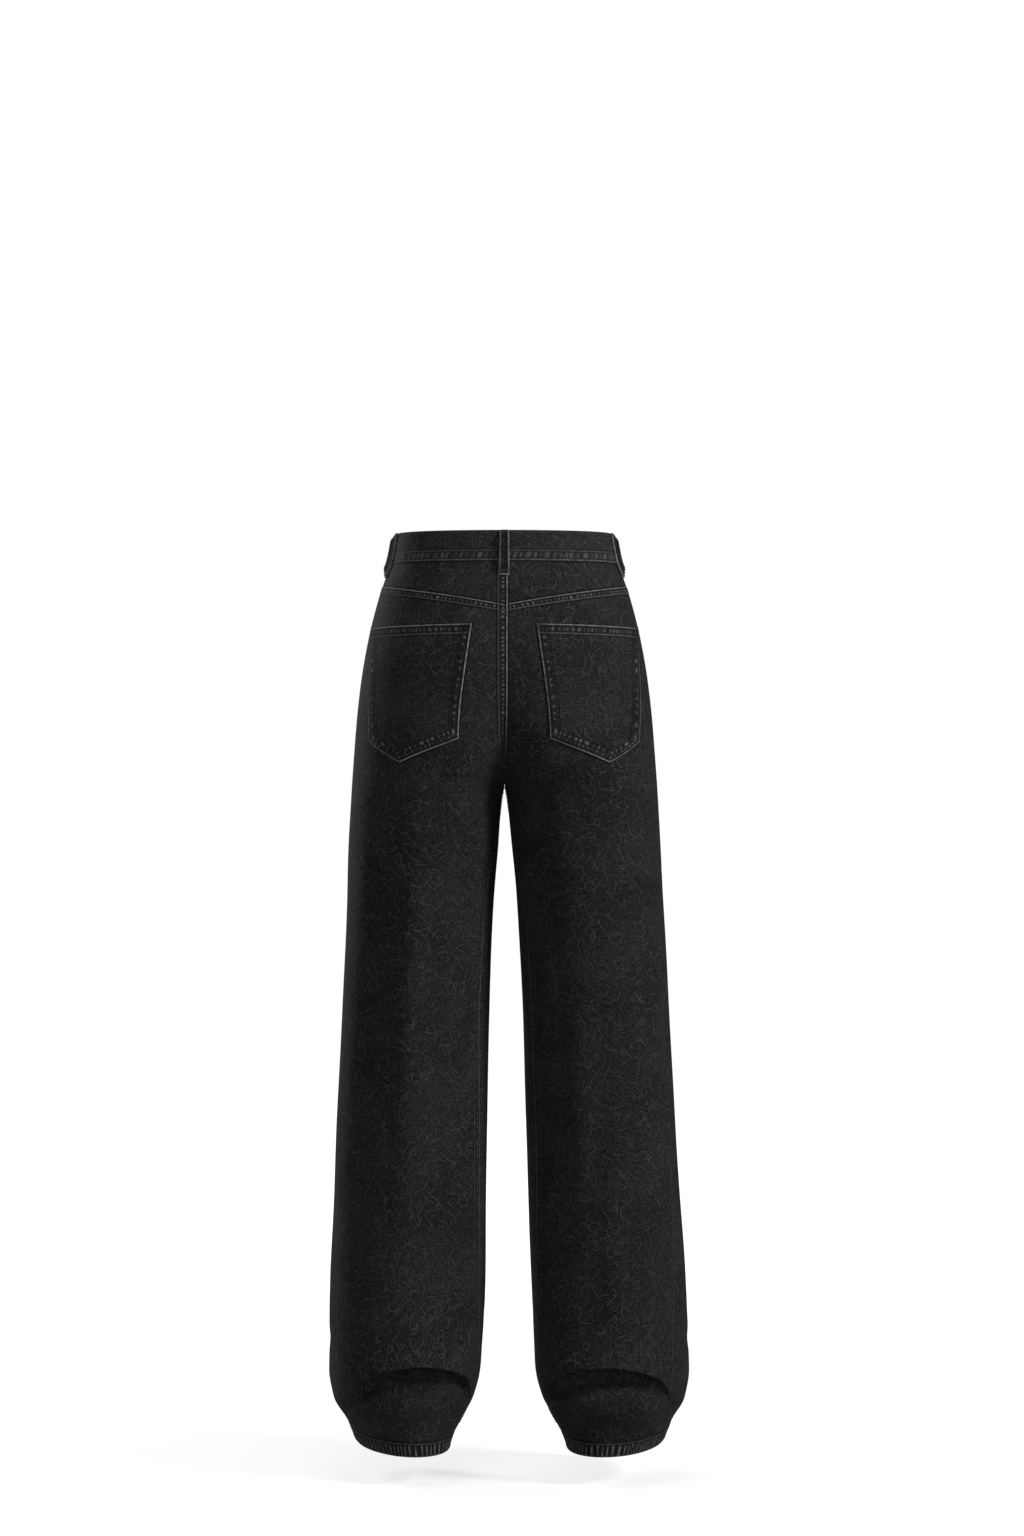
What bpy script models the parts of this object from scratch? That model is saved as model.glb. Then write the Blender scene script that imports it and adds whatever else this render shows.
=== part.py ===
"""Wide-leg jeans of black denim, open and filled out in the shape they take when worn.

Metres, +Z up. The front faces -Y and the wearer's left is +X. The origin is the middle of
the waist opening, halfway up the waistband, where the wearer holds the garment up.
"""

import math
from collections import namedtuple

import bpy
import numpy as np

# Thickness of the cloth, and the clearance that separates two pieces
CLOTH = 0.0015
BAND_CLOTH = 0.0030
HEM_CLOTH = 0.0027
LOOP_CLOTH = 0.0020
POCKET_CLOTH = 0.0015
SEAM_GAP = 0.0003
LAY_GAP = 0.0005  # under a piece that lies on a band or a faceted panel
POCKET_GAP = 0.0008  # under a pocket, which is wide enough for the facets to count
BACKING_GAP = 0.0013  # in front of a piece that lies behind a panel

# Heights of the seams above and below the middle of the waistband
BAND_HALF = 0.0190
FRONT_DIP = 0.0100  # the band is this much lower at the centre front
YOKE_AT_SIDE = -0.0481
YOKE_AT_BACK = -0.0743
YOKE_CURVE = 1.6
FORK = -0.3040  # where the four leg panels meet
HEM_END = -1.1372
HEM_HEIGHT = 0.0200
HEM_DROP_BACK = 0.0050
HEM_RISE_FRONT = 0.0090

# How far a sewn-on band stands out from the panels beside it
BAND_PROUD = 0.0010
HEM_PROUD = 0.0008

# One leg and its half of the seat, as a closed ring at each height. inner is negative above
# the fork, where the ring is cut off at the centre plane and meets its mirror image.
Section = namedtuple("Section", "height outer inner middle front back fullness yaw")
SECTIONS = (
    Section(0.0300, 0.1330, -0.1330, 0.000, 0.0970, 0.0990, 0.035, 0),
    Section(0.0190, 0.1355, -0.1355, 0.000, 0.0985, 0.1010, 0.035, 0),
    Section(-0.0190, 0.1432, -0.1432, 0.000, 0.1030, 0.1070, 0.035, 0),
    Section(-0.0410, 0.1524, -0.1464, 0.000, 0.1065, 0.1130, 0.033, 0),
    Section(-0.0650, 0.1602, -0.1442, 0.001, 0.1085, 0.1190, 0.030, 0),
    Section(-0.1150, 0.1726, -0.1300, 0.002, 0.1110, 0.1300, 0.026, 0),
    Section(-0.1660, 0.1815, -0.1050, 0.003, 0.1115, 0.1365, 0.022, 0),
    Section(-0.2160, 0.1872, -0.0690, 0.004, 0.1115, 0.1355, 0.020, 0),
    Section(-0.2620, 0.1908, -0.0310, 0.004, 0.1110, 0.1280, 0.020, 0),
    Section(-0.3040, 0.1938, 0.0002, 0.004, 0.1100, 0.1190, 0.020, 0),
    Section(-0.3200, 0.1947, 0.0036, 0.004, 0.1092, 0.1165, 0.020, 0),
    Section(-0.3820, 0.1981, 0.0089, 0.002, 0.1060, 0.1100, 0.020, 0),
    Section(-0.4450, 0.2007, 0.0140, -0.001, 0.1025, 0.1050, 0.020, 0),
    Section(-0.5720, 0.2070, 0.0206, -0.005, 0.0990, 0.0995, 0.020, 0),
    Section(-0.6990, 0.2140, 0.0240, -0.008, 0.0985, 0.0980, 0.020, 1),
    Section(-0.8260, 0.2206, 0.0270, -0.009, 0.0995, 0.0985, 0.020, 4),
    Section(-0.9530, 0.2272, 0.0300, -0.010, 0.1030, 0.1000, 0.020, 9),
    Section(-1.0165, 0.2285, 0.0330, -0.012, 0.1070, 0.1015, 0.018, 12),
    Section(-1.0480, 0.2275, 0.0358, -0.014, 0.1110, 0.1015, 0.014, 13),
    Section(-1.0800, 0.2225, 0.0440, -0.016, 0.1160, 0.0995, 0.010, 14),
    Section(-1.1080, 0.2075, 0.0590, -0.018, 0.1190, 0.0965, 0.006, 15),
    Section(-1.1310, 0.1970, 0.0705, -0.019, 0.1200, 0.0940, 0.004, 15),
    Section(-1.1500, 0.1920, 0.0745, -0.019, 0.1200, 0.0930, 0.004, 15),
)

# How far each leg's outer and inner outline lies out from the table above
Stance = namedtuple("Stance", "height left_outer left_inner right_outer right_inner")
STANCES = (
    Stance(0.0300, 0.0, 0.0, 0.0, 0.0),
    Stance(FORK, 0.0, 0.0, 0.0, 0.0),
    Stance(-0.9530, -0.0045, -0.0045, 0.0045, 0.0045),
    Stance(-1.0800, -0.0050, -0.0030, 0.0055, 0.0045),
    Stance(-1.1100, -0.0060, -0.0030, 0.0070, 0.0055),
    Stance(-1.1500, -0.0045, -0.0040, 0.0085, 0.0060),
)

# How far the seams lie behind the leg's widest line, in degrees round the ring
SeamTurn = namedtuple("SeamTurn", "height left right inseam")
SEAM_TURNS = (
    SeamTurn(0.03, 2, 2, 0),
    SeamTurn(-0.20, 3, 3, 0),
    SeamTurn(FORK, 6, 6, 0),
    SeamTurn(-0.37, 11, 14, 16),
    SeamTurn(-0.48, 17, 24, 30),
    SeamTurn(-1.00, 18, 27, 31),
    SeamTurn(-1.15, 16, 22, 26),
)

# Folds of the legs. angle is degrees round the ring: 0 outer side, 90 back, 180 inner side,
# -90 front. drop is how far its ends hang below its middle, and spread its half-length in
# degrees. depth is out of the leg, so a crease is negative.
Fold = namedtuple("Fold", "leg angle height drop spread tall depth")
FOLDS = (
    Fold("both", 84, -1.0490, 0.0170, 50, 0.0105, -0.0120),
    Fold("both", 86, -1.0200, 0.0100, 56, 0.0190, 0.0052),
    Fold("both", 84, -1.0790, 0.0060, 44, 0.0150, 0.0046),
    Fold("both", -88, -1.0420, -0.0180, 52, 0.0115, -0.0130),
    Fold("both", -88, -1.0700, -0.0100, 48, 0.0150, 0.0075),
    Fold("left", -70, -1.0080, -0.0220, 34, 0.0110, -0.0065),
    Fold("right", -106, -1.0040, -0.0220, 36, 0.0110, -0.0065),
    Fold("left", 62, -0.5400, 0.0, 15, 0.1700, -0.0034),
    Fold("left", 100, -0.6000, 0.0, 18, 0.2000, 0.0026),
    Fold("right", 128, -0.7200, 0.0, 16, 0.1600, -0.0032),
    Fold("right", 88, -0.5600, 0.0, 20, 0.2200, 0.0024),
    Fold("left", -66, -0.6200, 0.0, 15, 0.2400, -0.0034),
    Fold("right", -112, -0.5800, 0.0, 16, 0.2200, -0.0034),
)

# Back pocket, laid out on the seat: x is the distance round from the centre back seam
POCKET_TOP = -0.0990
POCKET_TILT = 0.0034  # the top edge falls by this much towards the side
POCKET_TOP_INNER = 0.0400
POCKET_TOP_WIDTH = 0.1650
POCKET_LOW_INNER = 0.0615
POCKET_LOW_WIDTH = 0.1295
POCKET_SIDE = 0.1420
POCKET_POINT = 0.1700
POCKET_POINT_SHARE = 0.65  # of the pocket's width, from its inner edge

# Front pocket mouth, cut from the top outer corner of the front panel
MOUTH_SHARE = 0.52  # of the front panel's width at the waistband
MOUTH_DEPTH = 0.0780
FACING_PAST_MOUTH = 0.0140
FACING_TAPER = 0.98
FACING_CLEAR_ROWS = 2  # its lowest rows, which lie behind the front panel at the side seam

# Fly shield behind the centre front
SHIELD_LEFT = 0.0380
SHIELD_RIGHT = 0.0180
SHIELD_END = -0.1780

# Waistband ends: the left one laps over the right one and takes the button
OVERLAP = 0.0180
UNDERLAP = 0.0300
LAP_RAMP = 0.0220

# Belt loops
LOOP_WIDTH = 0.0115
LOOP_END = -0.0380
LOOP_TOP = 0.0186
LOOP_STAND = 0.0062
LOOP_GAP = 0.0006
LOOP_BEND = 0.20  # of its length, at each end, in which it rises to its full stand
LOOP_ROWS = (0.0, 0.05, 0.12, 0.20, 0.32, 0.50, 0.68, 0.80, 0.88, 0.95, 1.0)
LOOP_BEHIND_SIDE = 0.0150  # from the side seam
LOOP_FROM_FRONT = 0.0780  # from the centre front

# Button
BUTTON_RADIUS = 0.0085
BUTTON_HEIGHT = 0.0034
BUTTON_CROWN = 0.97
ButtonRing = namedtuple("ButtonRing", "radius rise")
BUTTON_PROFILE = (
    ButtonRing(0.72, 0.00),
    ButtonRing(0.90, 0.18),
    ButtonRing(1.00, 0.45),
    ButtonRing(1.00, 0.70),
    ButtonRing(0.92, 0.92),
    ButtonRing(0.82, 0.97),
    ButtonRing(0.74, 0.84),
    ButtonRing(0.40, 0.93),
)

# Rows of a leg panel, closer at the breaks above the hem and just above the fork
Rows = namedtuple("Rows", "start end count")
SHIN_ROWS = Rows(-1.111, -0.985, 14)
SHANK_ROWS = Rows(-0.955, -0.345, 13)
FORK_STEPS = (-0.018, 0.0, 0.007, 0.016, 0.026, 0.037, 0.050)
SEAT_ROWS = Rows(FORK + 0.075, -0.080, 8)
LEVEL_TO = FORK + 0.060  # rows above this height bend to follow the panel's top edge
LEVEL_FROM = -1.000  # and rows below this one bend to follow the hem

# Mesh density
RING_STEPS = 48
BACK_COLUMNS = 15
MOUTH_COLUMNS = 9
FRONT_COLUMNS = 7
YOKE_COLUMNS = 13
YOKE_ROWS = 5
POCKET_ROWS = 9
POCKET_INNER_COLUMNS = 7
POCKET_OUTER_COLUMNS = 5
FACING_ROWS = 7
SHIELD_ROWS = 9
BAND_STATIONS = 76
BUTTON_STEPS = 16
NORMAL_STEP = 0.0002
SHARP_ANGLE = 40

SIGN = {"left": 1.0, "right": -1.0}
BLACK_DENIM = (0.018, 0.018, 0.019, 1)
FADED_DENIM = (0.026, 0.026, 0.027, 1)
BUTTON_METAL = (0.10, 0.10, 0.105, 1)


def clear_scene():
    """Removes the objects of the scene that the script starts in."""
    for thing in list(bpy.data.objects):
        bpy.data.objects.remove(thing)


def material(name, colour, roughness, metallic):
    """A plain Principled BSDF."""
    made = bpy.data.materials.new(name)
    made.use_nodes = True
    shader = made.node_tree.nodes["Principled BSDF"]
    shader.inputs["Base Color"].default_value = colour
    shader.inputs["Roughness"].default_value = roughness
    shader.inputs["Metallic"].default_value = metallic
    made.diffuse_color = colour
    return made


def along(table, column, at):
    """One column of a table at any height, on a smooth curve that doesn't overshoot its rows."""
    rows = sorted(table, key=lambda row: row.height)
    knots = np.array([row.height for row in rows])
    values = np.array([getattr(row, column) for row in rows], float)
    step = np.diff(knots)
    rise = np.diff(values) / step
    slope = np.zeros_like(values)
    slope[0], slope[-1] = rise[0], rise[-1]
    steady = rise[:-1] * rise[1:] > 0
    before = 2 * step[1:] + step[:-1]
    after = step[1:] + 2 * step[:-1]
    with np.errstate(divide="ignore", invalid="ignore"):
        mean = (before + after) / (before / rise[:-1] + after / rise[1:])
    slope[1:-1] = np.where(steady, mean, 0.0)
    i = np.clip(np.searchsorted(knots, at) - 1, 0, len(step) - 1)
    t = np.clip((at - knots[i]) / step[i], 0, 1)
    from_start = values[i] * (1 + 2 * t) + slope[i] * step[i] * t
    from_end = values[i + 1] * (3 - 2 * t) - slope[i + 1] * step[i] * (1 - t)
    return from_start * (1 - t) ** 2 + from_end * t**2


def eased(share):
    """A share held between 0 and 1, that starts and ends level."""
    share = np.clip(share, 0, 1)
    return share * share * (3 - 2 * share)


class Leg:
    """The outer surface of one leg and its half of the seat, in ring angle and height."""

    def __init__(self, side):
        self.side = side

    def sizes(self, height):
        """Centre, middle, half width, front and back depth, fullness and turn of the ring."""
        outer = along(SECTIONS, "outer", height) + along(STANCES, f"{self.side}_outer", height)
        inner = along(SECTIONS, "inner", height) + along(STANCES, f"{self.side}_inner", height)
        front = along(SECTIONS, "front", height)
        back = along(SECTIONS, "back", height)
        turn = np.radians(along(SECTIONS, "yaw", height))
        reach = (outer - inner) / 2
        depth = (front + back) / 2
        half = np.sqrt(reach**2 - (depth * np.sin(turn)) ** 2) / np.cos(turn)
        middle = along(SECTIONS, "middle", height)
        fullness = along(SECTIONS, "fullness", height)
        return (outer + inner) / 2, middle, half, front, back, fullness, turn

    def folds(self, angle, height):
        """How far the folds carry the cloth out of the plain ring."""
        out = np.zeros_like(angle)
        for fold in FOLDS:
            if fold.leg not in ("both", self.side):
                continue
            away = angle - math.radians(fold.angle)
            away = (away + math.pi) % (2 * math.pi) - math.pi
            share = away / math.radians(fold.spread)
            level = fold.height - fold.drop * share**2
            out += fold.depth * np.exp(-(share**2) - ((height - level) / fold.tall) ** 2)
        return out

    def points(self, angle, height):
        """Points of the outer surface. Both legs are worked out on the left side."""
        centre, middle, half, front, back, fullness, turn = self.sizes(height)
        depth = np.where(np.sin(angle) > 0, back, front)
        lobe = 1 + fullness * np.sin(2 * angle) ** 2
        x, y = half * np.cos(angle) * lobe, depth * np.sin(angle) * lobe
        out_x, out_y = np.cos(angle) / half, np.sin(angle) / depth
        size = np.hypot(out_x, out_y)
        fold = self.folds(angle, height)
        x, y = x + fold * out_x / size, y + fold * out_y / size
        return np.stack(
            [
                centre + x * np.cos(turn) - y * np.sin(turn),
                middle + x * np.sin(turn) + y * np.cos(turn),
                height + 0 * angle,
            ],
            axis=-1,
        )

    def normals(self, angle, height):
        """Unit normals that point out of the leg."""
        step = NORMAL_STEP
        around = self.points(angle + step, height) - self.points(angle - step, height)
        up = self.points(angle, height + step) - self.points(angle, height - step)
        normal = np.cross(around, up)
        return normal / np.linalg.norm(normal, axis=-1, keepdims=True)

    def centre_angle(self, height):
        """The angle at which the ring meets the centre plane above the fork."""
        low = np.full_like(height, math.pi / 2 - 0.4)
        high = np.full_like(height, math.pi)
        for _ in range(40):
            mid = (low + high) / 2
            centre, _, half, _, _, fullness, _ = self.sizes(height)
            x = centre + half * np.cos(mid) * (1 + fullness * np.sin(2 * mid) ** 2)
            inside = x > SEAM_GAP / 2
            low, high = np.where(inside, mid, low), np.where(inside, high, mid)
        return low

    def seam_angles(self, height, face):
        """Angles of the side seam and of the inner or centre seam, for the back or front."""
        side_seam = np.radians(along(SEAM_TURNS, self.side, height))
        turn = np.radians(along(SEAM_TURNS, "inseam", height))
        if face == "back":
            below, above = math.pi - turn, self.centre_angle(height)
        else:
            below, above = -math.pi - turn, -self.centre_angle(height)
        return side_seam, np.where(height > FORK, above, below)

    def angle_at(self, share, height, face, gap=SEAM_GAP / 2):
        """The ring angle at a share of the way from the side seam to the inner seam."""
        start, end = self.seam_angles(height, face)
        steps = np.linspace(0, 1, RING_STEPS + 1)
        angles = start[:, None] + (end - start)[:, None] * steps
        line = self.points(angles, np.repeat(height[:, None], RING_STEPS + 1, axis=1))
        length = np.linalg.norm(np.diff(line, axis=1), axis=2).cumsum(axis=1)
        length = np.concatenate([np.zeros((len(height), 1)), length], axis=1)
        whole = length[:, -1]
        inner_gap = gap * np.clip(1 - (height - FORK) / 0.03, 0, 1)
        wanted = gap + share * (whole - gap - inner_gap)
        i = np.clip((length < wanted[:, None]).sum(axis=1) - 1, 0, RING_STEPS - 1)
        row = np.arange(len(height))
        part = (wanted - length[row, i]) / (length[row, i + 1] - length[row, i])
        return angles[row, i] + part * (angles[row, i + 1] - angles[row, i]), whole

    def cloth(self, share, height, face, lift):
        """Points at a share of the panel's width and a height, lifted out of the surface."""
        share, height = np.broadcast_arrays(np.asarray(share, float), height)
        shape = share.shape
        share, height = share.ravel(), height.ravel().astype(float)
        angle, _ = self.angle_at(share, height, face)
        spot = self.points(angle, height) + np.ravel(lift)[..., None] * self.normals(angle, height)
        spot[:, 0] = np.maximum(spot[:, 0], SEAM_GAP / 2)
        spot[:, 0] *= SIGN[self.side]
        return spot.reshape(*shape, 3)

    def width(self, height, face):
        """The length round a panel at each height."""
        return self.angle_at(np.zeros_like(height), height, face)[1]


LEGS = {side: Leg(side) for side in SIGN}


def body(name, points, faces, finish):
    """A named object from points and faces, turned so that its faces point out."""
    corners = [points[list(face)] for face in faces]
    volume = sum(
        float(np.dot(c[0], np.cross(c[k], c[k + 1]))) for c in corners for k in range(1, len(c) - 1)
    )
    if volume < 0:
        faces = [tuple(reversed(face)) for face in faces]
    mesh = bpy.data.meshes.new(name)
    mesh.from_pydata([tuple(p) for p in points], [], faces)
    mesh.shade_smooth()
    mesh.set_sharp_from_angle(angle=math.radians(SHARP_ANGLE))
    mesh.materials.append(finish)
    made = bpy.data.objects.new(name, mesh)
    bpy.context.scene.collection.objects.link(made)
    return made


def wall(name, outer, inner, finish, closed=False):
    """A wall of cloth between two grids of points, closed round its edges.

    The grids hold rows of columns. A closed wall joins its last column to its first.
    """
    rows, columns = outer.shape[:2]
    points = np.concatenate([outer.reshape(-1, 3), inner.reshape(-1, 3)])
    back = rows * columns

    def at(row, column, layer=0):
        return layer * back + row * columns + column % columns

    faces = []
    for row in range(rows - 1):
        for column in range(columns if closed else columns - 1):
            loop = [(row, column), (row, column + 1), (row + 1, column + 1), (row + 1, column)]
            faces.append(tuple(at(*spot) for spot in loop))
            faces.append(tuple(at(*spot, 1) for spot in reversed(loop)))
    for column in range(columns if closed else columns - 1):
        first, last = [(0, column + 1), (0, column)], [(rows - 1, column), (rows - 1, column + 1)]
        for a, b in (first, last):
            faces.append((at(*a), at(*b), at(*b, 1), at(*a, 1)))
    if not closed:
        for row in range(rows - 1):
            left, right = [(row, 0), (row + 1, 0)], [(row + 1, columns - 1), (row, columns - 1)]
            for a, b in (left, right):
                faces.append((at(*a), at(*b), at(*b, 1), at(*a, 1)))
    return body(name, points, faces, finish)


def hem_end(height_share, angle):
    """Height of the hem's lower edge round the leg, or of its upper edge at a share of 1."""
    lean = np.sin(angle)
    drop = np.where(lean > 0, HEM_DROP_BACK, HEM_RISE_FRONT) * lean
    return HEM_END - drop + height_share * HEM_HEIGHT


def hem_top(leg, face, shares):
    """Height of the hem's upper edge at each share of a leg panel's width."""
    height = np.full_like(shares, HEM_END + HEM_HEIGHT)
    for _ in range(4):
        height = hem_end(1, leg.angle_at(shares, height, face, gap=0.0)[0])
    return height


def band_dip(front_share):
    """How much lower the waistband lies, at a share of the way from side to centre front."""
    return FRONT_DIP * (1 - np.cos(np.pi * np.clip(front_share, 0, 1))) / 2


def yoke_line(share):
    """Height of the yoke seam, at a share of the way from the side to the centre back."""
    return YOKE_AT_SIDE + (YOKE_AT_BACK - YOKE_AT_SIDE) * share**YOKE_CURVE


def mouth_line(share):
    """Height of the front panel's top edge, with the pocket mouth cut from its corner."""
    band = -BAND_HALF - band_dip(share) - SEAM_GAP
    inside = np.clip(1 - (share / MOUTH_SHARE) ** 2, 0, 1)
    return band - MOUTH_DEPTH * np.sqrt(inside)


def row_levels():
    """Level rows from hem to seat, closer at the folds and just above the fork."""
    fork = FORK + np.array(FORK_STEPS)
    runs = [np.linspace(*SHIN_ROWS), np.linspace(*SHANK_ROWS), fork, np.linspace(*SEAT_ROWS)]
    return np.concatenate(runs)


def fitted_rows(leg, face, shares, top_line):
    """Heights of a leg panel's points: level in the leg, and following its two ends."""
    levels = row_levels()
    top = top_line(shares)
    bottom = hem_top(leg, face, shares) + SEAM_GAP
    heights = np.repeat(levels[:, None], len(shares), axis=1)
    for row, level in enumerate(levels):
        if level > LEVEL_TO:
            part = (level - LEVEL_TO) / (levels[-1] - LEVEL_TO)
            heights[row] = LEVEL_TO + part * (top - LEVEL_TO)
        if level < LEVEL_FROM:
            part = (level - LEVEL_FROM) / (levels[0] - LEVEL_FROM)
            heights[row] = LEVEL_FROM + part * (bottom - LEVEL_FROM)
    return heights


def leg_panel(side, face, shares, top_line, finish):
    """A front or back leg panel, from hem to waistband or yoke."""
    leg = LEGS[side]
    heights = fitted_rows(leg, face, shares, top_line)
    outer = leg.cloth(shares[None, :], heights, face, 0.0)
    inner = leg.cloth(shares[None, :], heights, face, -CLOTH)
    return wall(f"{face}_leg_{side}", outer, inner, finish)


def yoke(side, finish):
    """The back yoke, between the waistband and the back leg."""
    leg = LEGS[side]
    shares = np.linspace(0, 1, YOKE_COLUMNS)
    low = yoke_line(shares)
    high = np.full_like(shares, -BAND_HALF - SEAM_GAP)
    heights = low + (high - low) * np.linspace(0, 1, YOKE_ROWS)[:, None]
    outer = leg.cloth(shares[None, :], heights, "back", 0.0)
    inner = leg.cloth(shares[None, :], heights, "back", -CLOTH)
    return wall(f"yoke_{side}", outer, inner, finish)


def hem(side, back_shares, front_shares, finish):
    """The turned-up hem, a closed band below both panels of a leg."""
    leg = LEGS[side]
    turns = []
    for face, shares in (("back", back_shares), ("front", front_shares[-2:0:-1])):
        turns.append(leg.angle_at(shares, hem_top(leg, face, shares), face, gap=0.0)[0])
    angle = np.concatenate(turns)
    rows = np.array([0.0, 0.5, 1.0])
    heights = np.stack([hem_end(share, angle) for share in rows])
    angles = np.repeat(angle[None, :], len(rows), axis=0)
    spot = leg.points(angles, heights)
    out = leg.normals(angles, heights)
    mirror = np.array([SIGN[side], 1, 1])
    outer = (spot + HEM_PROUD * out) * mirror
    inner = (spot + (HEM_PROUD - HEM_CLOTH) * out) * mirror
    return wall(f"hem_{side}", outer, inner, finish, closed=True)


def waist(distance, height, lift):
    """Points round the waist at a distance from the centre back, positive to the left.

    Past the centre front the distance runs on round the other side. A height of 0 is the
    middle of the waistband, and the band's dip at the front is added here.
    """
    distance, height, lift = np.broadcast_arrays(distance, height, lift)
    shape = distance.shape
    distance, height, lift = (np.ravel(row).astype(float) for row in (distance, height, lift))
    back, front = waist_widths()
    half = back + front
    around = (distance + half) % (2 * half) - half
    far = np.abs(around)
    front_share = np.clip((far - back) / front, 0, 1)
    level = height - band_dip(front_share)
    points = np.empty((len(around), 3))
    for side, sign in SIGN.items():
        leg, mine = LEGS[side], (around >= 0) == (sign > 0)
        for face, share, there in (
            ("back", 1 - far / back, mine & (far < back)),
            ("front", front_share, mine & (far >= back)),
        ):
            if there.any():
                angle, _ = leg.angle_at(share[there], level[there], face, gap=0.0)
                out = leg.normals(angle, level[there]) * lift[there, None]
                points[there] = (leg.points(angle, level[there]) + out) * (sign, 1, 1)
    return points.reshape(*shape, 3)


def waist_widths():
    """The length round the waist from the centre back to the side, and on to the front."""
    level = np.zeros(1)
    return tuple(float(LEGS["left"].width(level, face)[0]) for face in ("back", "front"))


def waist_half():
    """Half the length round the waist."""
    return sum(waist_widths())


def waistband(finish):
    """The waistband, one strip whose left end laps over its right end at the centre front."""
    half = waist_half()
    start, end = -half - UNDERLAP, half + OVERLAP
    # The strip runs from its right end, under the lap, round the back to its left end
    distance = np.linspace(start, end, BAND_STATIONS)
    from_under = distance + half - OVERLAP
    sunk = eased(1 - from_under / LAP_RAMP) * (BAND_CLOTH + SEAM_GAP)
    heights = np.array([-BAND_HALF, 0.0, BAND_HALF])[:, None]
    outer = waist(distance[None, :], heights, BAND_PROUD - sunk[None, :])
    inner = waist(distance[None, :], heights, BAND_PROUD - BAND_CLOTH - sunk[None, :])
    return wall("waistband", outer, inner, finish)


def belt_loop(name, distance, finish):
    """A folded strip sewn to the band's top edge and to the cloth below the band."""
    across = np.linspace(-LOOP_WIDTH / 2, LOOP_WIDTH / 2, 3)
    share = np.array(LOOP_ROWS)
    height = LOOP_END + (LOOP_TOP - LOOP_END) * share
    rise = eased(np.minimum(share, 1 - share) / LOOP_BEND)
    on_band = np.clip((height + BAND_HALF) / BAND_CLOTH + 1, 0, 1)
    seat = BAND_PROUD * on_band + LOOP_GAP
    under = seat + (LOOP_STAND - seat) * rise
    over = under + LOOP_CLOTH
    spots = distance + across[None, :]
    inner = waist(spots, height[:, None], under[:, None])
    outer = waist(spots, height[:, None], over[:, None])
    return wall(name, outer, inner, finish)


def back_pocket(side, finish):
    """A patch pocket with a pointed lower edge, laid on the seat."""
    leg = LEGS[side]
    to_point = np.linspace(0, POCKET_POINT_SHARE, POCKET_INNER_COLUMNS)
    past_point = np.linspace(POCKET_POINT_SHARE, 1, POCKET_OUTER_COLUMNS)[1:]
    across = np.concatenate([to_point, past_point])[None, :]
    down = np.linspace(0, 1, POCKET_ROWS)[:, None]
    low = np.minimum(across / POCKET_POINT_SHARE, (1 - across) / (1 - POCKET_POINT_SHARE))
    length = POCKET_SIDE + (POCKET_POINT - POCKET_SIDE) * low
    inner_edge = POCKET_TOP_INNER + (POCKET_LOW_INNER - POCKET_TOP_INNER) * down
    width = POCKET_TOP_WIDTH + (POCKET_LOW_WIDTH - POCKET_TOP_WIDTH) * down
    height = POCKET_TOP - POCKET_TILT * across - length * down
    far = inner_edge + width * across
    back = leg.width(height.ravel(), "back").reshape(height.shape)
    share = 1 - far / back
    inner = leg.cloth(share, height, "back", POCKET_GAP)
    outer = leg.cloth(share, height, "back", POCKET_GAP + POCKET_CLOTH)
    return wall(f"back_pocket_{side}", outer, inner, finish)


def pocket_facing(side, shares, finish):
    """The cloth that shows in a front pocket's mouth, behind the front panel."""
    leg = LEGS[side]
    top = -BAND_HALF - band_dip(shares) - SEAM_GAP
    bent = 1 - (FACING_TAPER * shares / shares[-1]) ** 2
    bottom = top - (MOUTH_DEPTH + FACING_PAST_MOUTH) * np.sqrt(bent)
    heights = bottom + (top - bottom) * np.linspace(0, 1, FACING_ROWS)[:, None]
    face = np.full_like(heights, -CLOTH - BACKING_GAP)
    # Above the front panel's corner it comes up to the side seam, where it is sewn in
    face[FACING_CLEAR_ROWS:, 0] = 0.0
    outer = leg.cloth(shares[None, :], heights, "front", face)
    inner = leg.cloth(shares[None, :], heights, "front", face - CLOTH)
    return wall(f"pocket_facing_{side}", outer, inner, finish)


def fly_shield(finish):
    """The strip behind the centre front opening."""
    top = -BAND_HALF - FRONT_DIP - SEAM_GAP
    heights = np.linspace(SHIELD_END, top, SHIELD_ROWS)
    left = np.linspace(0, SHIELD_LEFT, 4)
    far = np.concatenate([[-SHIELD_RIGHT, -SHIELD_RIGHT / 2], left])
    grids = []
    for lift in (-CLOTH - BACKING_GAP, -2 * CLOTH - BACKING_GAP):
        columns = []
        for distance in far:
            side = "left" if distance >= 0 else "right"
            leg = LEGS[side]
            share = 1 - abs(distance) / leg.width(heights, "front")
            column = leg.cloth(share, heights, "front", lift)
            if distance == 0:
                column[:, 0] = 0
            columns.append(column)
        grids.append(np.stack(columns, axis=1))
    return wall("fly_shield", grids[0], grids[1], finish)


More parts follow.
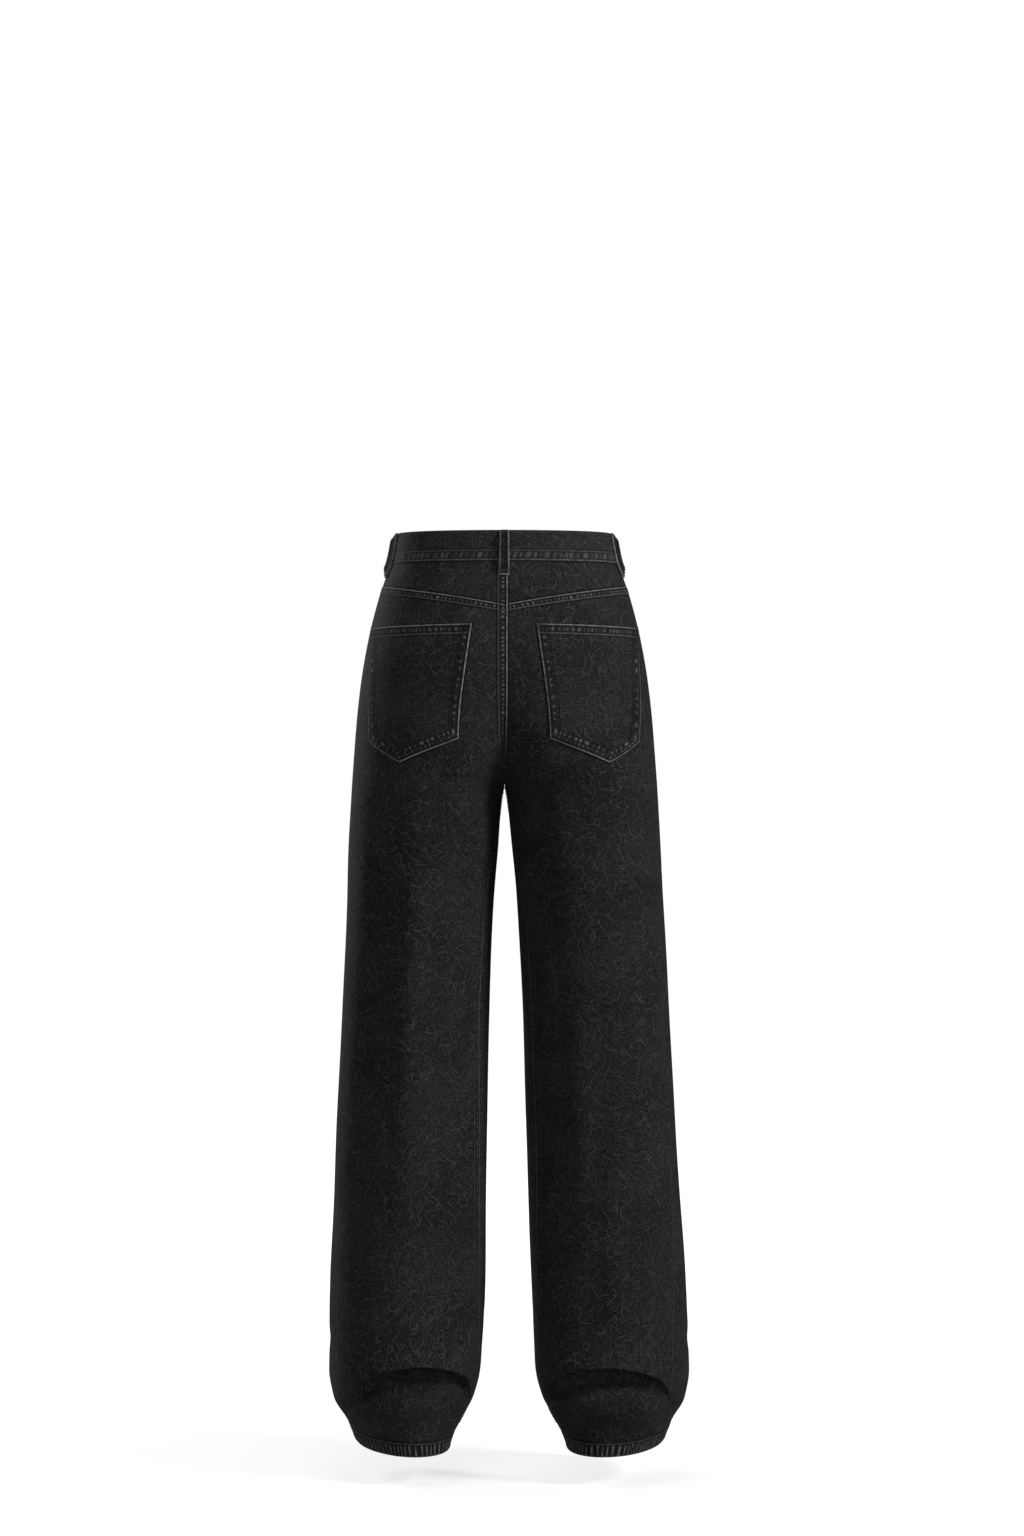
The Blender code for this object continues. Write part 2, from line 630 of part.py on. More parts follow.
def waist_button(finish):
    """A domed metal button with a raised rim, on the waistband at the centre front."""
    low, base, high = waist([waist_half()] * 3, [-BUTTON_RADIUS, 0, BUTTON_RADIUS], BAND_PROUD)
    up = (high - low) * np.array([0, 1, 1])
    up /= np.linalg.norm(up)
    aside = np.array([1.0, 0.0, 0.0])
    out = np.cross(aside, up)
    middle = base * np.array([0, 1, 1]) + LAY_GAP * out
    turns = np.linspace(0, 2 * math.pi, BUTTON_STEPS, endpoint=False)
    spokes = np.cos(turns)[:, None] * aside + np.sin(turns)[:, None] * up
    rings = [
        middle + BUTTON_RADIUS * part.radius * spokes + BUTTON_HEIGHT * part.rise * out
        for part in BUTTON_PROFILE
    ]
    top = middle + BUTTON_HEIGHT * BUTTON_CROWN * out
    points = np.concatenate([middle[None], *rings, top[None]])
    last = len(points) - 1
    faces = []
    for step in range(BUTTON_STEPS):
        after = (step + 1) % BUTTON_STEPS
        faces.append((0, 1 + step, 1 + after))
        for ring in range(len(rings) - 1):
            low, high = 1 + ring * BUTTON_STEPS, 1 + (ring + 1) * BUTTON_STEPS
            faces.append((low + step, high + step, high + after, low + after))
        rim = 1 + (len(rings) - 1) * BUTTON_STEPS
        faces.append((rim + step, last, rim + after))
    return body("waist_button", points, faces, finish)


def build():
    """Makes every piece of the garment."""
    clear_scene()
    denim = material("black_denim", BLACK_DENIM, 0.9, 0.0)
    faded = material("faded_denim", FADED_DENIM, 0.9, 0.0)
    metal = material("dark_metal", BUTTON_METAL, 0.38, 1.0)
    back_shares = np.linspace(0, 1, BACK_COLUMNS)
    mouth = MOUTH_SHARE * np.sin(np.linspace(0, math.pi / 2, MOUTH_COLUMNS + 1))
    front_shares = np.concatenate([mouth, np.linspace(MOUTH_SHARE, 1, FRONT_COLUMNS + 1)[1:]])
    for side in SIGN:
        leg_panel(side, "back", back_shares, lambda share: yoke_line(share) - SEAM_GAP, denim)
        leg_panel(side, "front", front_shares, mouth_line, denim)
        yoke(side, denim)
        hem(side, back_shares, front_shares, faded)
        back_pocket(side, denim)
        pocket_facing(side, front_shares[: MOUTH_COLUMNS + 2], denim)
    fly_shield(denim)
    waistband(denim)
    belt_loop("belt_loop_back", 0.0, faded)
    for side, sign in SIGN.items():
        at_side = waist_widths()[0] - LOOP_BEHIND_SIDE
        belt_loop(f"belt_loop_side_{side}", sign * at_side, faded)
        belt_loop(f"belt_loop_front_{side}", sign * (waist_half() - LOOP_FROM_FRONT), faded)
    waist_button(metal)


build()
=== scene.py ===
"""Looks for a pair of wide-leg jeans in washed black denim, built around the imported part.

Metres, +Z up. The front faces -Y and the wearer's left is +X, as in the part.
"""

import logging
import math
from dataclasses import dataclass, field
from enum import Enum
from typing import NamedTuple, Sequence

import bpy
import numpy as np
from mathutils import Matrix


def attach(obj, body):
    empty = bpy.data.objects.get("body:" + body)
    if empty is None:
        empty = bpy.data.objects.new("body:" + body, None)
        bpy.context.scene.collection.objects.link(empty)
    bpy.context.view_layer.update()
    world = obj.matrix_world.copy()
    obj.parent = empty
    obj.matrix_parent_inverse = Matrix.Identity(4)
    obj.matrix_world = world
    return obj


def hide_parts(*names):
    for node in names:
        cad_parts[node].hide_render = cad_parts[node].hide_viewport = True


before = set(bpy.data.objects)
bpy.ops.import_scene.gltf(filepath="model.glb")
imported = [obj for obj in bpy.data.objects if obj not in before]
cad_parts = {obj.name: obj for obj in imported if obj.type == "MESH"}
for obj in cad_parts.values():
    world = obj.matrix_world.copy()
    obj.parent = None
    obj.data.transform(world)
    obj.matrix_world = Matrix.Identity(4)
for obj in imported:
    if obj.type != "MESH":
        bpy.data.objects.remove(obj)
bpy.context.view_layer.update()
BODY = "root"
log = logging.getLogger("jeans")

Grid = np.ndarray
Socket = bpy.types.NodeSocket
Tree = bpy.types.NodeTree
Material = bpy.types.Material
Thing = bpy.types.Object
Pair = tuple[Grid, Grid]


class Side(Enum):
    """The wearer's left or right."""

    LEFT = "left"
    RIGHT = "right"

    @property
    def sign(self) -> float:
        """The sign of X on this side."""
        return 1.0 if self is Side.LEFT else -1.0


class Face(Enum):
    """The back or the front of a leg."""

    BACK = "back"
    FRONT = "front"


class Slot(Enum):
    """The material slots of the part's record."""

    DENIM = "black_denim"
    FADED = "faded_denim"
    METAL = "dark_metal"


class Section(NamedTuple):
    """The ring of one leg at a height; above the fork it is cut off at the centre plane."""

    height: float
    outer: float
    inner: float
    middle: float
    front: float
    back: float
    fullness: float
    yaw: float


class Stance(NamedTuple):
    """How far each leg's outline lies out from the sections."""

    height: float
    left_outer: float
    left_inner: float
    right_outer: float
    right_inner: float


class SeamTurn(NamedTuple):
    """Degrees by which the seams lie behind the leg's widest line."""

    height: float
    left: float
    right: float
    inseam: float


class Fold(NamedTuple):
    """A soft fold: degrees round the ring, height, hang of its ends, spread, size and depth."""

    leg: str
    angle: float
    height: float
    drop: float
    spread: float
    tall: float
    depth: float


class Crease(NamedTuple):
    """A soft ridge or hollow: place, lean in degrees off upright, half sizes and depth."""

    leg: str
    angle: float
    height: float
    lean: float
    long: float
    wide: float
    depth: float


class Break(NamedTuple):
    """A ledge where the leg folds over on itself: the cloth above it hangs over that below."""

    leg: str
    angle: float
    height: float
    drop: float
    spread: float
    over: float
    under: float
    above: float
    below: float
    hang: float


class Sway(NamedTuple):
    """A slow unevenness of the cloth: waves per radian and per metre, phase and depth."""

    round: float
    up: float
    phase: float
    depth: float


def tabled(kind: type, *rows: tuple) -> tuple:
    """The rows of a table, each as its own kind of tuple."""
    return tuple(kind(*row) for row in rows)


SECTIONS = tabled(
    Section,
    (0.03, 0.133, -0.133, 0.0, 0.097, 0.099, 0.035, 0),
    (0.019, 0.1355, -0.1355, 0.0, 0.0985, 0.101, 0.035, 0),
    (-0.019, 0.1432, -0.1432, 0.0, 0.103, 0.107, 0.035, 0),
    (-0.041, 0.1524, -0.1464, 0.0, 0.1065, 0.113, 0.033, 0),
    (-0.065, 0.1602, -0.1442, 0.001, 0.1085, 0.119, 0.03, 0),
    (-0.115, 0.1726, -0.13, 0.002, 0.111, 0.13, 0.026, 0),
    (-0.166, 0.1815, -0.105, 0.003, 0.1115, 0.1365, 0.022, 0),
    (-0.216, 0.1872, -0.069, 0.004, 0.1115, 0.1355, 0.02, 0),
    (-0.262, 0.1908, -0.031, 0.004, 0.111, 0.128, 0.02, 0),
    (-0.304, 0.1938, 0.0002, 0.004, 0.11, 0.119, 0.02, 0),
    (-0.32, 0.1947, 0.0036, 0.004, 0.1092, 0.1165, 0.02, 0),
    (-0.382, 0.1981, 0.0089, 0.002, 0.106, 0.11, 0.02, 0),
    (-0.445, 0.2007, 0.014, -0.001, 0.1025, 0.105, 0.02, 0),
    (-0.572, 0.207, 0.0206, -0.005, 0.099, 0.0995, 0.02, 0),
    (-0.699, 0.214, 0.024, -0.008, 0.0985, 0.098, 0.02, 1),
    (-0.826, 0.2206, 0.027, -0.009, 0.0995, 0.0985, 0.02, 4),
    (-0.953, 0.2272, 0.03, -0.01, 0.103, 0.1, 0.02, 9),
    (-1.0165, 0.2285, 0.033, -0.012, 0.107, 0.1015, 0.018, 12),
    (-1.048, 0.2275, 0.0358, -0.014, 0.111, 0.1015, 0.014, 13),
    (-1.08, 0.2225, 0.044, -0.016, 0.116, 0.0995, 0.01, 14),
    (-1.108, 0.2075, 0.059, -0.018, 0.119, 0.0965, 0.006, 15),
    (-1.131, 0.197, 0.0705, -0.019, 0.12, 0.094, 0.004, 15),
    (-1.15, 0.192, 0.0745, -0.019, 0.12, 0.093, 0.004, 15),
)
FORK = -0.304  # where the legs part
STANCES = tabled(
    Stance,
    (0.03, 0.0, 0.0, 0.0, 0.0),
    (FORK, 0.0, 0.0, 0.0, 0.0),
    (-0.953, -0.0045, -0.0045, 0.0045, 0.0045),
    (-1.08, -0.005, -0.003, 0.0055, 0.0045),
    (-1.11, -0.006, -0.003, 0.007, 0.0055),
    (-1.15, -0.0045, -0.004, 0.0085, 0.006),
)
SEAM_TURNS = tabled(
    SeamTurn,
    (0.03, 2, 2, 0),
    (-0.2, 3, 3, 0),
    (FORK, 6, 6, 0),
    (-0.37, 11, 14, 16),
    (-0.48, 17, 24, 30),
    (-1.0, 18, 27, 31),
    (-1.15, 16, 22, 26),
)
FOLDS = tabled(
    Fold,
    ("both", 84, -1.049, 0.017, 50, 0.0105, -0.012),
    ("both", 86, -1.02, 0.01, 56, 0.019, 0.0052),
    ("both", 84, -1.079, 0.006, 44, 0.015, 0.0046),
    ("both", -88, -1.042, -0.018, 52, 0.0115, -0.013),
    ("both", -88, -1.07, -0.01, 48, 0.015, 0.0075),
    ("left", -70, -1.008, -0.022, 34, 0.011, -0.0065),
    ("right", -106, -1.004, -0.022, 36, 0.011, -0.0065),
    ("left", 62, -0.54, 0.0, 15, 0.17, -0.0034),
    ("left", 100, -0.6, 0.0, 18, 0.2, 0.0026),
    ("right", 128, -0.72, 0.0, 16, 0.16, -0.0032),
    ("right", 88, -0.56, 0.0, 20, 0.22, 0.0024),
    ("left", -66, -0.62, 0.0, 15, 0.24, -0.0034),
    ("right", -112, -0.58, 0.0, 16, 0.22, -0.0034),
)
CREASES = tabled(
    Crease,
    ("left", 84, -0.62, 1, 0.33, 0.015, 0.004),
    ("left", 52, -0.6, 2, 0.32, 0.015, -0.0034),
    ("left", 106, -0.62, -2, 0.3, 0.014, -0.003),
    ("left", 72, -0.94, -3, 0.09, 0.013, 0.0018),
    ("right", 58, -0.64, 2, 0.33, 0.018, 0.0034),
    ("right", 92, -0.74, -3, 0.24, 0.014, -0.0026),
    ("right", 120, -0.56, 1, 0.28, 0.016, -0.0026),
    ("right", 78, -0.93, 3, 0.1, 0.012, 0.0016),
    ("both", 140, -0.335, 52, 0.046, 0.0085, -0.0022),
    ("left", 128, -0.372, 46, 0.05, 0.009, -0.0016),
    ("right", 132, -0.366, 40, 0.056, 0.0095, -0.0019),
    ("both", -112, -0.29, -58, 0.055, 0.0075, -0.002),
    ("left", -98, -0.255, -66, 0.055, 0.007, -0.0016),
    ("right", -101, -0.262, -62, 0.06, 0.007, -0.0018),
    ("both", -118, -0.35, -40, 0.06, 0.009, -0.0018),
    ("left", -62, -0.64, -2, 0.28, 0.016, -0.0026),
    ("right", -70, -0.6, 3, 0.3, 0.016, -0.0026),
    ("both", -92, -0.68, 0, 0.24, 0.018, 0.002),
    ("left", 30, -1.076, 62, 0.034, 0.006, -0.0026),
    ("right", 36, -1.08, 56, 0.032, 0.006, -0.0026),
    ("left", 132, -1.056, -48, 0.03, 0.006, -0.0028),
    ("right", 128, -1.054, -52, 0.032, 0.006, -0.0028),
    ("both", 60, -1.096, 80, 0.04, 0.005, 0.0016),
)
BREAKS = tabled(
    Break,
    ("left", 88, -1.017, 0.033, 46, 0.006, 0.008, 0.026, 0.024, 0.012),
    ("right", 82, -1.017, 0.033, 46, 0.006, 0.008, 0.026, 0.024, 0.0125),
    ("both", -88, -1.024, -0.018, 42, 0.004, 0.006, 0.028, 0.024, 0.008),
)
LEDGE = 0.0032  # half the height over which a ledge turns
RING_RADIUS = 0.1  # turns degrees round the leg into metres, for creases
PITCH = 0.0035  # from one stitch to the next
ROWS = (0.0018, 0.0076)  # double rows of stitches, from their seam
LAP_ROWS = (0.002, 0.0096)  # and from the edge of the lap
EDGE_STEPS = np.array([0.0, 0.0004, 0.0011, 0.002, 0.0034, 0.0052, 0.0074])
EDGE_BAND = 0.0098
EDGE_DROP = 0.0005  # how much a cloth's edge is rounded down
EDGE_ROLL = 0.0012  # and how far in
SEAM_STEP = 0.0015  # over which a felled seam's ridge falls away
SWAYS = tabled(
    Sway,
    (3.0, 9.0, 0.4, 0.0005),
    (5.0, -14.0, 1.9, 0.0004),
    (8.0, 23.0, 3.1, 0.0003),
    (2.0, 31.0, 5.2, 0.0003),
)


def eased(share: Grid | float) -> Grid:
    """A share held between 0 and 1 that starts and ends level."""
    share = np.clip(share, 0, 1)
    return share * share * (3 - 2 * share)


def turned(angle: Grid, middle: float) -> Grid:
    """How far angles in radians lie from a middle in degrees, the short way round."""
    return (angle - math.radians(middle) + math.pi) % (2 * math.pi) - math.pi


class Curve:
    """One column of a table as a smooth curve that doesn't overshoot its rows."""

    def __init__(self, table: Sequence[NamedTuple], column: str) -> None:
        rows = sorted(table, key=lambda row: row.height)
        self.knots = np.array([row.height for row in rows])
        self.values = np.array([getattr(row, column) for row in rows], float)
        self.step = np.diff(self.knots)
        rise = np.diff(self.values) / self.step
        self.slope = np.zeros_like(self.values)
        self.slope[0], self.slope[-1] = rise[0], rise[-1]
        before = 2 * self.step[1:] + self.step[:-1]
        after = self.step[1:] + 2 * self.step[:-1]
        with np.errstate(divide="ignore", invalid="ignore"):
            mean = (before + after) / (before / rise[:-1] + after / rise[1:])
        self.slope[1:-1] = np.where(rise[:-1] * rise[1:] > 0, mean, 0.0)

    def __call__(self, at: Grid) -> Grid:
        """The curve's value at each height."""
        i = np.clip(np.searchsorted(self.knots, at) - 1, 0, len(self.step) - 1)
        t = np.clip((at - self.knots[i]) / self.step[i], 0, 1)
        low = self.values[i] * (1 + 2 * t) + self.slope[i] * self.step[i] * t
        high = self.values[i + 1] * (3 - 2 * t) - self.slope[i + 1] * self.step[i] * (1 - t)
        return low * (1 - t) ** 2 + high * t**2


class Ring(NamedTuple):
    """The sizes of a leg's ring at each height."""

    centre: Grid
    middle: Grid
    half: Grid
    front: Grid
    back: Grid
    fullness: Grid
    turn: Grid


@dataclass
class LegForm:
    """The outer surface of one leg and its half of the seat."""

    side: Side
    gap: float = 0.00002
    steps: int = 40
    nudge: float = 0.0004
    curves: dict[str, Curve] = field(default_factory=dict)

    def __post_init__(self) -> None:
        for column in Section._fields[1:]:
            self.curves[column] = Curve(SECTIONS, column)
        for edge in ("outer", "inner"):
            self.curves[f"stance_{edge}"] = Curve(STANCES, f"{self.side.value}_{edge}")
        self.curves["side_seam"] = Curve(SEAM_TURNS, self.side.value)
        self.curves["inseam"] = Curve(SEAM_TURNS, "inseam")

    def ring(self, height: Grid) -> Ring:
        """The ring's sizes.

        Args:
            height: heights in metres.

        Returns:
            One value of each size for each height.
        """
        get = {name: curve(height) for name, curve in self.curves.items()}
        outer = get["outer"] + get["stance_outer"]
        inner = get["inner"] + get["stance_inner"]
        turn = np.radians(get["yaw"])
        depth = (get["front"] + get["back"]) / 2
        reach = (outer - inner) / 2
        half = np.sqrt(reach**2 - (depth * np.sin(turn)) ** 2) / np.cos(turn)
        centre = (outer + inner) / 2
        return Ring(centre, get["middle"], half, get["front"], get["back"], get["fullness"], turn)

    def mine(self, table: Sequence[NamedTuple]) -> list[NamedTuple]:
        """The rows of a table that belong to this leg."""
        return [row for row in table if row.leg in ("both", self.side.value)]

    def folds(self, angle: Grid, height: Grid) -> Grid:
        """How far the part's own folds stand out of the plain ring."""
        out = 0 * (angle + height)
        for fold in self.mine(FOLDS):
            share = turned(angle, fold.angle) / math.radians(fold.spread)
            level = fold.height - fold.drop * share**2
            out = out + fold.depth * np.exp(-(share**2) - ((height - level) / fold.tall) ** 2)
        return out

    def ledge(self, ledge: Break, angle: Grid, height: Grid) -> tuple[Grid, Grid, Grid]:
        """How far above a ledge a point lies, how much it belongs above it and the ledge's share."""
        share = turned(angle, ledge.angle) / math.radians(ledge.spread)
        up = height - ledge.height + ledge.drop * share**2
        return up, eased(up / LEDGE / 2 + 0.5), np.exp(-np.abs(share) ** 3)

    def hang(self, angle: Grid, height: Grid) -> Grid:
        """How far the cloth above the ledges hangs down over them."""
        down = 0 * (angle + height)
        for ledge in self.mine(BREAKS):
            up, over, share = self.ledge(ledge, angle, height)
            down = down + ledge.hang * np.exp(-((up / (1.5 * ledge.above)) ** 2)) * over * share
        return down

    def relief(self, angle: Grid, height: Grid) -> Grid:
        """How far the ledges, creases and the cloth's unevenness stand out."""
        out = 0 * (angle + height)
        for ledge in self.mine(BREAKS):
            up, over, share = self.ledge(ledge, angle, height)
            above = ledge.over * np.exp(-((up / ledge.above) ** 2)) * over
            below = ledge.under * np.exp(-((up / ledge.below) ** 2)) * (1 - over)
            out = out + (above - below) * share
        for crease in self.mine(CREASES):
            lean = math.radians(crease.lean)
            around, up = turned(angle, crease.angle) * RING_RADIUS, height - crease.height
            along = up * math.cos(lean) + around * math.sin(lean)
            across = around * math.cos(lean) - up * math.sin(lean)
            out = out + crease.depth * np.exp(-((along / crease.long) ** 2) - (across / crease.wide) ** 2)
        calm = eased((FORK + 0.05 - height) / 0.15) * eased((height + 1.11) / 0.03)
        for sway in SWAYS:
            phase = sway.phase + 0.9 * self.side.sign
            out = out + calm * sway.depth * np.sin(sway.round * angle + sway.up * height + phase)
        return out

    def points(self, angle: Grid, height: Grid, creased: bool = True) -> Grid:
        """Points of the surface, worked out on the left side for both legs."""
        ring = self.ring(height)
        depth = np.where(np.sin(angle) > 0, ring.back, ring.front)
        lobe = 1 + ring.fullness * np.sin(2 * angle) ** 2
        x, y = ring.half * np.cos(angle) * lobe, depth * np.sin(angle) * lobe
        out_x, out_y = np.cos(angle) / ring.half, np.sin(angle) / depth
        fold, level = self.folds(angle, height), height
        if creased:
            seam = eased((height - FORK + 0.03) / 0.026) * eased(1 - (ring.centre + x) / 0.016)
            fold = fold + self.relief(angle, height) * (1 - seam)
            level = height - self.hang(angle, height)
        fold = fold / np.hypot(out_x, out_y)
        x, y = x + fold * out_x, y + fold * out_y
        cos, sin = np.cos(ring.turn), np.sin(ring.turn)
        spot = (ring.centre + x * cos - y * sin, ring.middle + x * sin + y * cos, level + 0 * x)
        return np.stack(spot, axis=-1)

    def normals(self, angle: Grid, height: Grid) -> Grid:
        """Unit normals that point out of the leg."""
        step = self.nudge
        around = self.points(angle + step, height) - self.points(angle - step, height)
        up = self.points(angle, height + step) - self.points(angle, height - step)
        out = np.cross(around, up)
        return out / np.linalg.norm(out, axis=-1, keepdims=True)

    def surface(self, angle: Grid, height: Grid) -> Pair:
        """Points and unit normals on this leg's own side."""
        mirror = (self.side.sign, 1, 1)
        return self.points(angle, height) * mirror, self.normals(angle, height) * mirror

    def centre_angle(self, height: Grid) -> Grid:
        """The angle at which the ring meets the centre plane above the fork."""
        ring = self.ring(height)
        low, high = np.full_like(height, math.pi / 2 - 0.4), np.full_like(height, math.pi)
        for _ in range(32):
            mid = (low + high) / 2
            x = ring.centre + ring.half * np.cos(mid) * (1 + ring.fullness * np.sin(2 * mid) ** 2)
            inside = x > self.gap / 2
            low, high = np.where(inside, mid, low), np.where(inside, high, mid)
        return low

    def angles(
        self, share: Grid, height: Grid, face: Face, gap: float | None = None
    ) -> Pair:
        """Ring angles at shares of the way from the side seam to the inner seam.

        Args:
            share: shares of the panel's width, flat.
            height: the height of each point, flat.
            face: the back or the front panel.
            gap: the clearance left at the seams, half the seam gap unless stated.

        Returns:
            The angle and the panel's whole width at each point.
        """
        gap = self.gap / 2 if gap is None else gap
        start = np.radians(self.curves["side_seam"](height))
        turn = np.radians(self.curves["inseam"](height))
        meet = self.centre_angle(height)
        if face is Face.BACK:
            end = np.where(height > FORK, meet, math.pi - turn)
        else:
            end = np.where(height > FORK, -meet, -math.pi - turn)
        steps = np.linspace(0, 1, self.steps + 1)
        angles = start[:, None] + (end - start)[:, None] * steps
        line = self.points(angles, height[:, None], creased=False)
        length = np.linalg.norm(np.diff(line, axis=1), axis=2).cumsum(axis=1)
        length = np.concatenate([np.zeros((len(height), 1)), length], axis=1)
        whole = length[:, -1]
        inner_gap = gap * np.clip(1 - (height - FORK) / 0.03, 0, 1)
        wanted = gap + share * (whole - gap - inner_gap)
        i = np.clip((length < wanted[:, None]).sum(axis=1) - 1, 0, self.steps - 1)
        row = np.arange(len(height))
        part = (wanted - length[row, i]) / (length[row, i + 1] - length[row, i])
        return angles[row, i] + part * (angles[row, i + 1] - angles[row, i]), whole

    def width(self, height: Grid, face: Face) -> Grid:
        """The length round a panel at each height."""
        flat = np.ravel(height).astype(float)
        return self.angles(np.zeros_like(flat), flat, face)[1].reshape(np.shape(height))

    def spots(self, share: Grid, height: Grid, face: Face) -> tuple[Grid, Grid, Grid]:
        """Points, normals and panel widths at shares and heights.

        Args:
            share: shares of the panel's width from the side seam.
            height: heights in metres.
            face: the back or the front panel.

        Returns:
            Points on this leg's own side, unit normals and widths.
        """
        share, height = np.broadcast_arrays(share, height)
        shape = share.shape
        share, height = share.ravel().astype(float), height.ravel().astype(float)
        angle, whole = self.angles(share, height, face)
        spot, out = self.surface(angle, height)
        return spot.reshape(*shape, 3), out.reshape(*shape, 3), whole.reshape(shape)

    def lifted(self, spot: Grid, out: Grid, lift: Grid | float, past: Grid | float = 0.0) -> Grid:
        """Points moved along their normals, and kept on their own side of the centre plane.

        Args:
            spot: the points.
            out: their unit normals.
            lift: how far each one moves.
            past: how far past the centre plane it lies, for a lap over the other leg.

        Returns:
            The moved points.
        """
        moved = spot + np.asarray(lift)[..., None] * out
        sign, past = self.side.sign, np.asarray(past)
        far = moved[..., 0] * sign
        far = np.where(past > 0, np.minimum(far, -self.gap - 0.02 * past), np.maximum(far, self.gap / 2))
        moved[..., 0] = far * sign
        return moved


def placed(name: str, data: bpy.types.ID) -> Thing:
    """A new object at the origin, linked to the scene."""
    made = bpy.data.objects.new(name, data)
    bpy.context.scene.collection.objects.link(made)
    return made


def store(mesh: bpy.types.Mesh, name: str, values: Grid) -> None:
    """Stores a number or a vector at each point of a mesh."""
    kind, key = ("FLOAT", "value") if values.ndim == 1 else ("FLOAT_VECTOR", "vector")
    made = mesh.attributes.new(name, kind, "POINT")
    made.data.foreach_set(key, values.astype(np.float32).ravel())


def run_lengths(points: Grid) -> Grid:
    """How far along a line each of its points lies."""
    return np.concatenate([[0], np.cumsum(np.linalg.norm(np.diff(points, axis=0), axis=1))])


class Trim(NamedTuple):
    """Distance from a sewn edge, distance along it and how strong its wear is."""

    away: Grid
    along: Grid
    strength: Grid | float


@dataclass
class Cloth:
    """A shell of cloth between two grids of points, named after the solid it stands for."""

    name: str
    outer: Grid
    inner: Grid
    across: Grid
    up: Grid
    trims: tuple[Trim, ...] = ()
    rope: Grid | None = None
    closed: bool = False
    sharp: float = 50.0

    def faces(self) -> Grid:
        """The faces of both sides and of the rim between them."""
        rows, columns = self.outer.shape[:2]
        index = np.arange(rows * columns).reshape(rows, columns)
        if self.closed:
            index = np.concatenate([index, index[:, :1]], axis=1)
        under = index + rows * columns
        a, b, c, d = index[:-1, :-1], index[:-1, 1:], index[1:, 1:], index[1:, :-1]
        e, f, g, h = under[:-1, :-1], under[:-1, 1:], under[1:, 1:], under[1:, :-1]
        quads = [(a, b, c, d), (h, g, f, e)]
        quads.append((index[0, 1:], index[0, :-1], under[0, :-1], under[0, 1:]))
        quads.append((index[-1, :-1], index[-1, 1:], under[-1, 1:], under[-1, :-1]))
        if not self.closed:
            quads.append((index[:-1, 0], index[1:, 0], under[1:, 0], under[:-1, 0]))
            quads.append((index[1:, -1], index[:-1, -1], under[:-1, -1], under[1:, -1]))
        return np.concatenate([np.stack([q.ravel() for q in quad], axis=1) for quad in quads])

    def build(self) -> Thing:
        """Makes the object with its UV map and attributes.

        Returns:
            The object, at the origin.
        """
        points = np.concatenate([self.outer.reshape(-1, 3), self.inner.reshape(-1, 3)])
        faces = self.faces()
        corner = points[faces]
        half = np.cross(corner[:, 1] - corner[:, 0], corner[:, 2] - corner[:, 0])
        other = np.cross(corner[:, 2] - corner[:, 0], corner[:, 3] - corner[:, 0])
        if np.einsum("ij,ij->", half + other, corner[:, 0]) < 0:
            faces = faces[:, ::-1]
        mesh = bpy.data.meshes.new(f"{self.name}_cloth")
        mesh.from_pydata(points.tolist(), [], faces.tolist())
        layer = mesh.uv_layers.new(name="cloth")
        flat = np.stack([np.tile(self.across.ravel(), 2), np.tile(self.up.ravel(), 2)], axis=1)
        layer.data.foreach_set("uv", flat[faces.ravel()].astype(np.float32).ravel())
        for number, trim in enumerate(self.trims):
            strength = np.broadcast_to(trim.strength, trim.away.shape).ravel()
            values = np.stack([trim.away.ravel(), trim.along.ravel(), strength], axis=1)
            store(mesh, f"trim{number + 1}", np.concatenate([values, values * (1, 1, 0)]))
        if self.rope is not None:
            store(mesh, "rope", np.concatenate([self.rope.ravel(), np.zeros(self.rope.size)]))
        store(mesh, "inside", np.repeat([0.0, 1.0], self.across.size))
        mesh.shade_smooth()
        mesh.set_sharp_from_angle(angle=math.radians(self.sharp))
        return placed(f"{self.name}_cloth", mesh)

    def make(
        self, finish: Material, slot: Slot, flat: tuple[float, float], shape: float, *rests_on: str
    ) -> None:
        """Builds the piece, dresses it and ties it to the part.

        Args:
            finish: its denim.
            slot: the record's material slot; not used.
            flat: the cut's rectangle; not used.
            shape: the share of the rectangle that the cut fills; not used.
            rests_on: the nodes that hold it up; not used.
        """
        made = self.build()
        finish_piece(made, self.name, finish)


class Stitches(NamedTuple):
    """Where a run of stitches lies: middles, directions and normals of its stitches."""

    middle: Grid
    run: Grid
    out: Grid


def stitch_run(points: Grid, out: Grid, lift: float = 0.00015) -> Stitches:
    """Spaces stitches evenly along a line.

    Args:
        points: the line, as points in order.
        out: the cloth's normal at each point.
        lift: how far the thread's middle lies above the cloth.

    Returns:
        The stitches of the line.
    """
    far = run_lengths(points)
    count = max(int(far[-1] / PITCH), 1)
    spots = (np.arange(count) + 0.5) * far[-1] / count

    def read(values: Grid, at: Grid) -> Grid:
        """The values at distances along the line."""
        return np.stack([np.interp(at, far, values[:, axis]) for axis in range(3)], axis=1)

    ahead = read(points, np.clip(spots + PITCH / 3, 0, far[-1]))
    behind = read(points, np.clip(spots - PITCH / 3, 0, far[-1]))
    run = ahead - behind
    run /= np.linalg.norm(run, axis=1, keepdims=True)
    normal = read(out, spots)
    normal /= np.linalg.norm(normal, axis=1, keepdims=True)
    return Stitches(read(points, spots) + lift * normal, run, normal)


